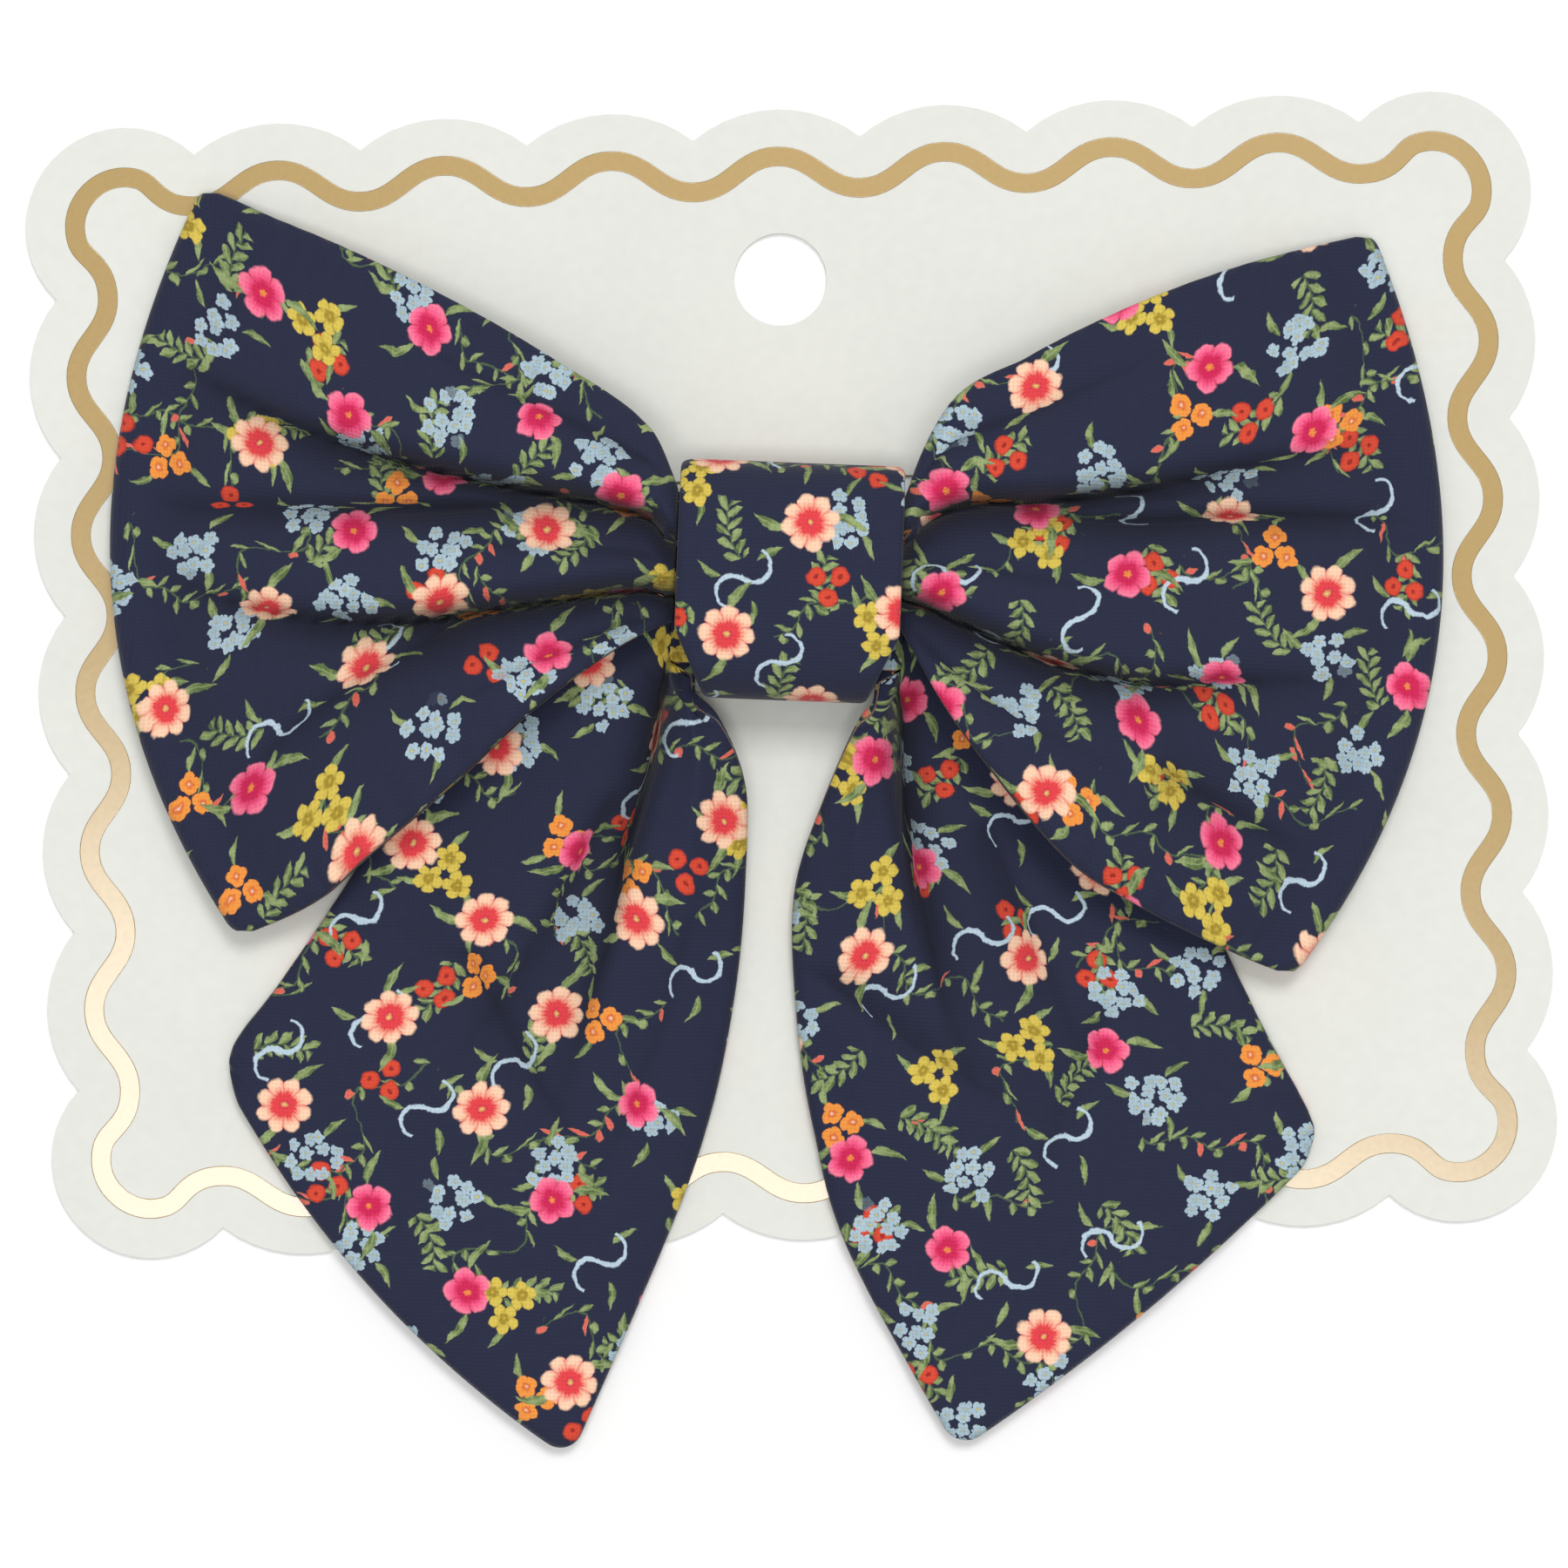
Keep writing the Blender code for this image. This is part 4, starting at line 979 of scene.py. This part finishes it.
def printed(tree, place):
    """The cloth's printed colour: small flowers, florets, berries, vines and scrolls on navy."""
    noise = noise_at(tree, place, 0.9, 3.0)
    grain = Value(noise["Fac"])
    sway = vector(tree, "SUBTRACT", noise["Color"], (0.5, 0.5, 0.5))
    place = vector(tree, "MULTIPLY_ADD", sway, (HAND_SWAY, HAND_SWAY, 0.0), place)

    def leaves(under, mask, vein):
        green = mix(ramp(grain, (0.38, LEAF), (0.62, PALE_LEAF)), PALE_LEAF, vein * 0.8)
        return mix(under, green, mask)

    # Vines lie under everything else.
    colour = NAVY
    for turn, spacing in ((0.5, 12.5), (2.2, 15.0)):
        mask, vein, stem, bud = vine(tree, place, turn, spacing)
        colour = mix(colour, STEM, stem)
        colour = leaves(colour, mask, vein)
        colour = mix(colour, BUD, mask * bud)

    # Sprigs, some of them with berries.
    x, y, first, second, _ = scatter(tree, place, 9.6, 0.42, (0.31, 0.12), 1.4)
    mask, vein, stem = sprig(x, y, 5.5, 2.6, 1.05, 1.75, 0.60, 0.75)
    on = calc("LESS_THAN", second, 0.60)
    colour = mix(colour, STEM, stem * on)
    colour = leaves(colour, mask * on, vein)
    bx, by = repeated(x, y + 0.5, 3, 1.15)
    berry = length(bx, by)
    shown = inside(berry, 0.82, 0.12) * chosen(first, 0.0, 0.36)
    red = ramp(
        berry, (0.0, DARK_BERRY), (0.16, DARK_BERRY), (0.24, BERRY), (0.6, BERRY),
        (0.9, DARK_BERRY))
    colour = mix(colour, red, shown)

    # Florets crowd into small heads, and yellow and orange flowers stand in twos and threes.
    x, y, first, second, third = scatter(tree, place, 9.1, 1.13, (0.52, 0.77), 1.6)
    leaf_x, leaf_y = repeated(x, y, 3, 1.9)
    mask, vein = leaf(leaf_x, leaf_y + 0.2 * leaf_x * leaf_x, 2.2, 0.66)
    colour = leaves(colour, mask * calc("LESS_THAN", third, 0.86), vein)
    head_x, head_y = x + first * 40, y + second * 40
    cells = new_node(tree, "TexVoronoi", joined(tree, head_x, head_y), voronoi_dimensions="2D")
    set_inputs(cells, {"Scale": 0.84, "Randomness": 0.8})
    centre_x, centre_y, _ = parts_of(tree, cells.outputs["Position"])
    tone, _, _ = parts_of(tree, cells.outputs["Color"])
    dx, dy = head_x - centre_x, head_y - centre_y
    out, mask, _ = flower(dx + 0.05, dy, 5, 0.66, 0.40)
    near = inside(length(x - dx, y - dy), 2.25, 0.05)
    blue = ramp(out, (0.0, YELLOW), (0.14, YELLOW), (0.2, DEEP_SKY), (0.45, SKY), (1.0, SKY))
    blue = mix(blue, DEEP_SKY, tone * 0.5)
    colour = mix(colour, blue, mask * near * chosen(third, 0.0, 0.40))
    fx, fy = repeated(x, y, 3, 1.45)
    out, mask, line = flower(fx, fy, 5, 1.28, 0.42)
    gold = ramp(
        out, (0.0, YELLOW), (0.15, OLD_YELLOW), (0.34, OLD_YELLOW), (0.5, YELLOW), (1.0, YELLOW))
    gold = mix(gold, OLD_YELLOW, line * 0.7)
    colour = mix(colour, gold, mask * chosen(third, 0.40, 0.58))
    fx, fy = repeated(x, y, 3, 1.15)
    out, mask, _ = flower(fx, fy, 4, 0.98, 0.30)
    warm = ramp(out, (0.0, CREAM), (0.25, DEEP_ORANGE), (0.5, ORANGE), (1.0, ORANGE))
    colour = mix(colour, warm, mask * chosen(third, 0.58, 0.74))
    line = scroll(x, y, 1.4, 0.20) * chosen(third, 0.74, 1.0)
    colour = mix(colour, PALE_SKY, line)

    # The largest flowers lie on top, each with its own leaves.
    x, y, first, _, _ = scatter(tree, place, 11.2, 2.31, (0.14, 0.40), 2.2)
    leaf_x, leaf_y = repeated(x, y, 2, 1.9)
    mask, vein = leaf(leaf_x, leaf_y + 0.22 * leaf_x * leaf_x, 2.7, 0.9)
    on = calc("LESS_THAN", first, 0.80)
    colour = leaves(colour, mask * on, vein)
    out, mask, line = flower(x, y, 8, 2.4, 0.26)
    streak = calc("POWER", 1 - calc("ABSOLUTE", calc("SINE", calc("ARCTAN2", y, x) * 12)), 3.0)
    coral = ramp(
        out + 0.10 * streak,
        (0.0, CREAM), (0.08, YELLOW), (0.15, DEEP_PINK), (0.22, CORAL), (0.46, CORAL),
        (0.56, PEACH), (0.74, CREAM), (1.0, CREAM))
    coral = mix(coral, CORAL, line * 0.7)
    colour = mix(colour, coral, mask * chosen(first, 0.0, 0.38))
    out, mask, line = flower(x, y, 5, 2.0, 0.28)
    pink = ramp(
        out + 0.12 * streak,
        (0.0, ORANGE), (0.12, ORANGE), (0.18, DEEP_PINK), (0.46, DEEP_PINK),
        (0.66, PINK), (0.95, LIGHT_PINK))
    pink = mix(pink, DEEP_PINK, line * 0.8)
    return mix(colour, pink, mask * chosen(first, 0.38, 0.80)), grain


def new_material(name, inputs):
    """A material with its node tree and its shader, which has these constant inputs."""
    made = bpy.data.materials.new(name)
    made.use_nodes = True
    tree = made.node_tree
    shader = tree.nodes["Principled BSDF"]
    set_inputs(shader, inputs)
    return made, tree, shader


def cover(tree, shader, colour, height, distance, strength):
    """Gives a shader its colour, and a bump as high as distance in metres."""
    bump = new_node(tree, "Bump")
    set_inputs(bump, {"Distance": distance, "Strength": strength})
    connect(tree, height, bump.inputs["Height"])
    tree.links.new(bump.outputs[0], shader.inputs["Normal"])
    tree.links.new(colour, shader.inputs["Base Color"])


def threads(tree, place, pitch):
    """The height of a plain weave of that pitch, from 0 to 1."""
    x, y, _ = parts_of(tree, place)
    over = calc("SINE", x * (math.pi / pitch))
    along = calc("SINE", y * (math.pi / pitch))
    return calc("MAXIMUM", over * over * 0.9, along * along)


def make_floral():
    """Printed cotton: the print times its weave, darkened by the shade painted into the creases."""
    made, tree, shader = new_material("floral_cotton", {
        "Roughness": 0.86, "Sheen Weight": 0.10, "Sheen Roughness": 0.45,
        "Specular IOR Level": 0.25})
    place = attribute(tree, "cloth")["Vector"]
    colour, grain = printed(tree, place)
    weave = threads(tree, place, THREAD_MM)
    # The crease attribute holds the painted shade of the valleys; it darkens the print there
    crease = Value(attribute(tree, "crease")["Fac"])
    weave_tone_with_painted_shade = (0.80 + 0.16 * weave + 0.14 * grain) * (1.0 - crease)
    print_with_painted_shade = vector(tree, "MULTIPLY", colour, joined(tree, weave_tone_with_painted_shade, weave_tone_with_painted_shade, weave_tone_with_painted_shade))
    cover(tree, shader, print_with_painted_shade, weave + 0.8 * grain, 0.00006, 0.55)
    return made


def make_elastic_material():
    made, tree, shader = new_material("ribbed_elastic", {"Roughness": 0.8})
    weave = threads(tree, attribute(tree, "cloth")["Vector"], ELASTIC_THREAD_MM)
    colour = ramp(weave, (0.0, srgb(16, 17, 30)), (1.0, srgb(34, 36, 56)))
    cover(tree, shader, colour, weave, 0.00006, 0.6)
    return made


def make_board():
    made, tree, shader = new_material(
        "card_board", {"Roughness": 0.62, "Specular IOR Level": 0.3})
    place = new_node(tree, "TexCoord").outputs["Object"]
    fibres = Value(noise_at(tree, place, 900.0, 5.0)["Fac"])
    blend = fibres * 0.5 + Value(noise_at(tree, place, 45.0, 2.0)["Fac"]) * 0.5
    tone = ramp(blend, (0.3, srgb(219, 220, 213)), (0.7, srgb(226, 227, 220)))
    cover(tree, shader, tone, fibres, 0.00003, 0.4)
    return made


def make_gold():
    """Stamped foil: soft gold under a glossy clear coat, which gives its white highlight."""
    made, tree, shader = new_material("gold_foil", {
        "Metallic": 0.5, "Roughness": 0.40, "Coat Weight": 1.0, "Coat Roughness": 0.14,
        "Coat IOR": 1.5})
    grain = Value(noise_at(tree, attribute(tree, "cloth")["Vector"], 1.6, 4.0)["Fac"])
    colour = ramp(grain, (0.3, srgb(132, 107, 52)), (0.7, srgb(142, 116, 59)))
    connect(tree, 0.42 + 0.10 * grain, shader.inputs["Roughness"])
    cover(tree, shader, colour, grain, 0.00004, 0.25)
    return made


def dress(piece, node, material):
    piece.data.materials.append(material)
    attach(piece, "root")
    if node:
        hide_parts(node)
    return piece


# Stage

def area_light(name, place, size, power):
    data = bpy.data.lights.new(name, "AREA")
    data.shape = "RECTANGLE"
    data.size, data.size_y = size
    data.energy = power
    lamp = bpy.data.objects.new(name, data)
    bpy.context.scene.collection.objects.link(lamp)
    lamp.location = place
    towards = Vector() - Vector(place)
    lamp.rotation_euler = towards.to_track_quat("-Z", "Y").to_euler()


def make_stage():
    scene = bpy.context.scene
    mesh = bpy.data.meshes.new("floor")
    mesh.from_pydata([(-2, -2, 0), (2, -2, 0), (2, 2, 0), (-2, 2, 0)], [], [(0, 1, 2, 3)])
    floor = bpy.data.objects.new("floor", mesh)
    scene.collection.objects.link(floor)
    white = (FLOOR_TONE, FLOOR_TONE, FLOOR_TONE, 1.0)
    made, _, _ = new_material("floor_white", {"Base Color": white, "Roughness": 0.9})
    mesh.materials.append(made)

    world = bpy.data.worlds.new("studio")
    scene.world = world
    world.use_nodes = True
    light = {"Color": (1.0, 1.0, 1.0, 1.0), "Strength": WORLD_STRENGTH}
    set_inputs(world.node_tree.nodes["Background"], light)
    scene.view_settings.view_transform = "Standard"
    for settings in LIGHTS:
        area_light(*settings)

    data = bpy.data.cameras.new("camera")
    camera = bpy.data.objects.new("camera", data)
    scene.collection.objects.link(camera)
    camera.location = (*VIEW_CENTRE, VIEW_HEIGHT)
    camera.rotation_euler = (0.0, 0.0, VIEW_ROLL)
    data.lens = data.sensor_width * VIEW_HEIGHT / VIEW_WIDTH
    data.clip_start = 0.01
    scene.camera = camera


floral = make_floral()
elastic = make_elastic_material()
left_loop = dress(
    make_loop("left_loop_cloth", -1, LEFT_LOOP_REACH, LEFT_LOOP, LEFT_LOOP_FOLDS, 11, (3.0, 8.0)),
    "left_loop", floral)
right_loop = dress(
    make_loop(
        "right_loop_cloth", 1, RIGHT_LOOP_REACH, RIGHT_LOOP, RIGHT_LOOP_FOLDS, 23, (141.0, 52.0)),
    "right_loop", floral)
left_tail = dress(
    make_tail("left_tail_cloth", -1, LEFT_TAIL, LEFT_TAIL_FOLDS, 31, (64.0, 203.0)),
    "left_tail", floral)
right_tail = dress(
    make_tail("right_tail_cloth", 1, RIGHT_TAIL, RIGHT_TAIL_FOLDS, 47, (210.0, 118.0)),
    "right_tail", floral)
knot = dress(make_knot("knot_wrap", (86.0, 303.0)), "knot_band", floral)
left_elastic = dress(make_elastic("left_elastic_band", -1), "left_elastic", elastic)
right_elastic = dress(make_elastic("right_elastic_band", 1), "right_elastic", elastic)
foil = dress(make_foil("foil_line"), None, make_gold())
board = make_board()
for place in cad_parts["card"].material_slots:
    place.material = board

make_stage()
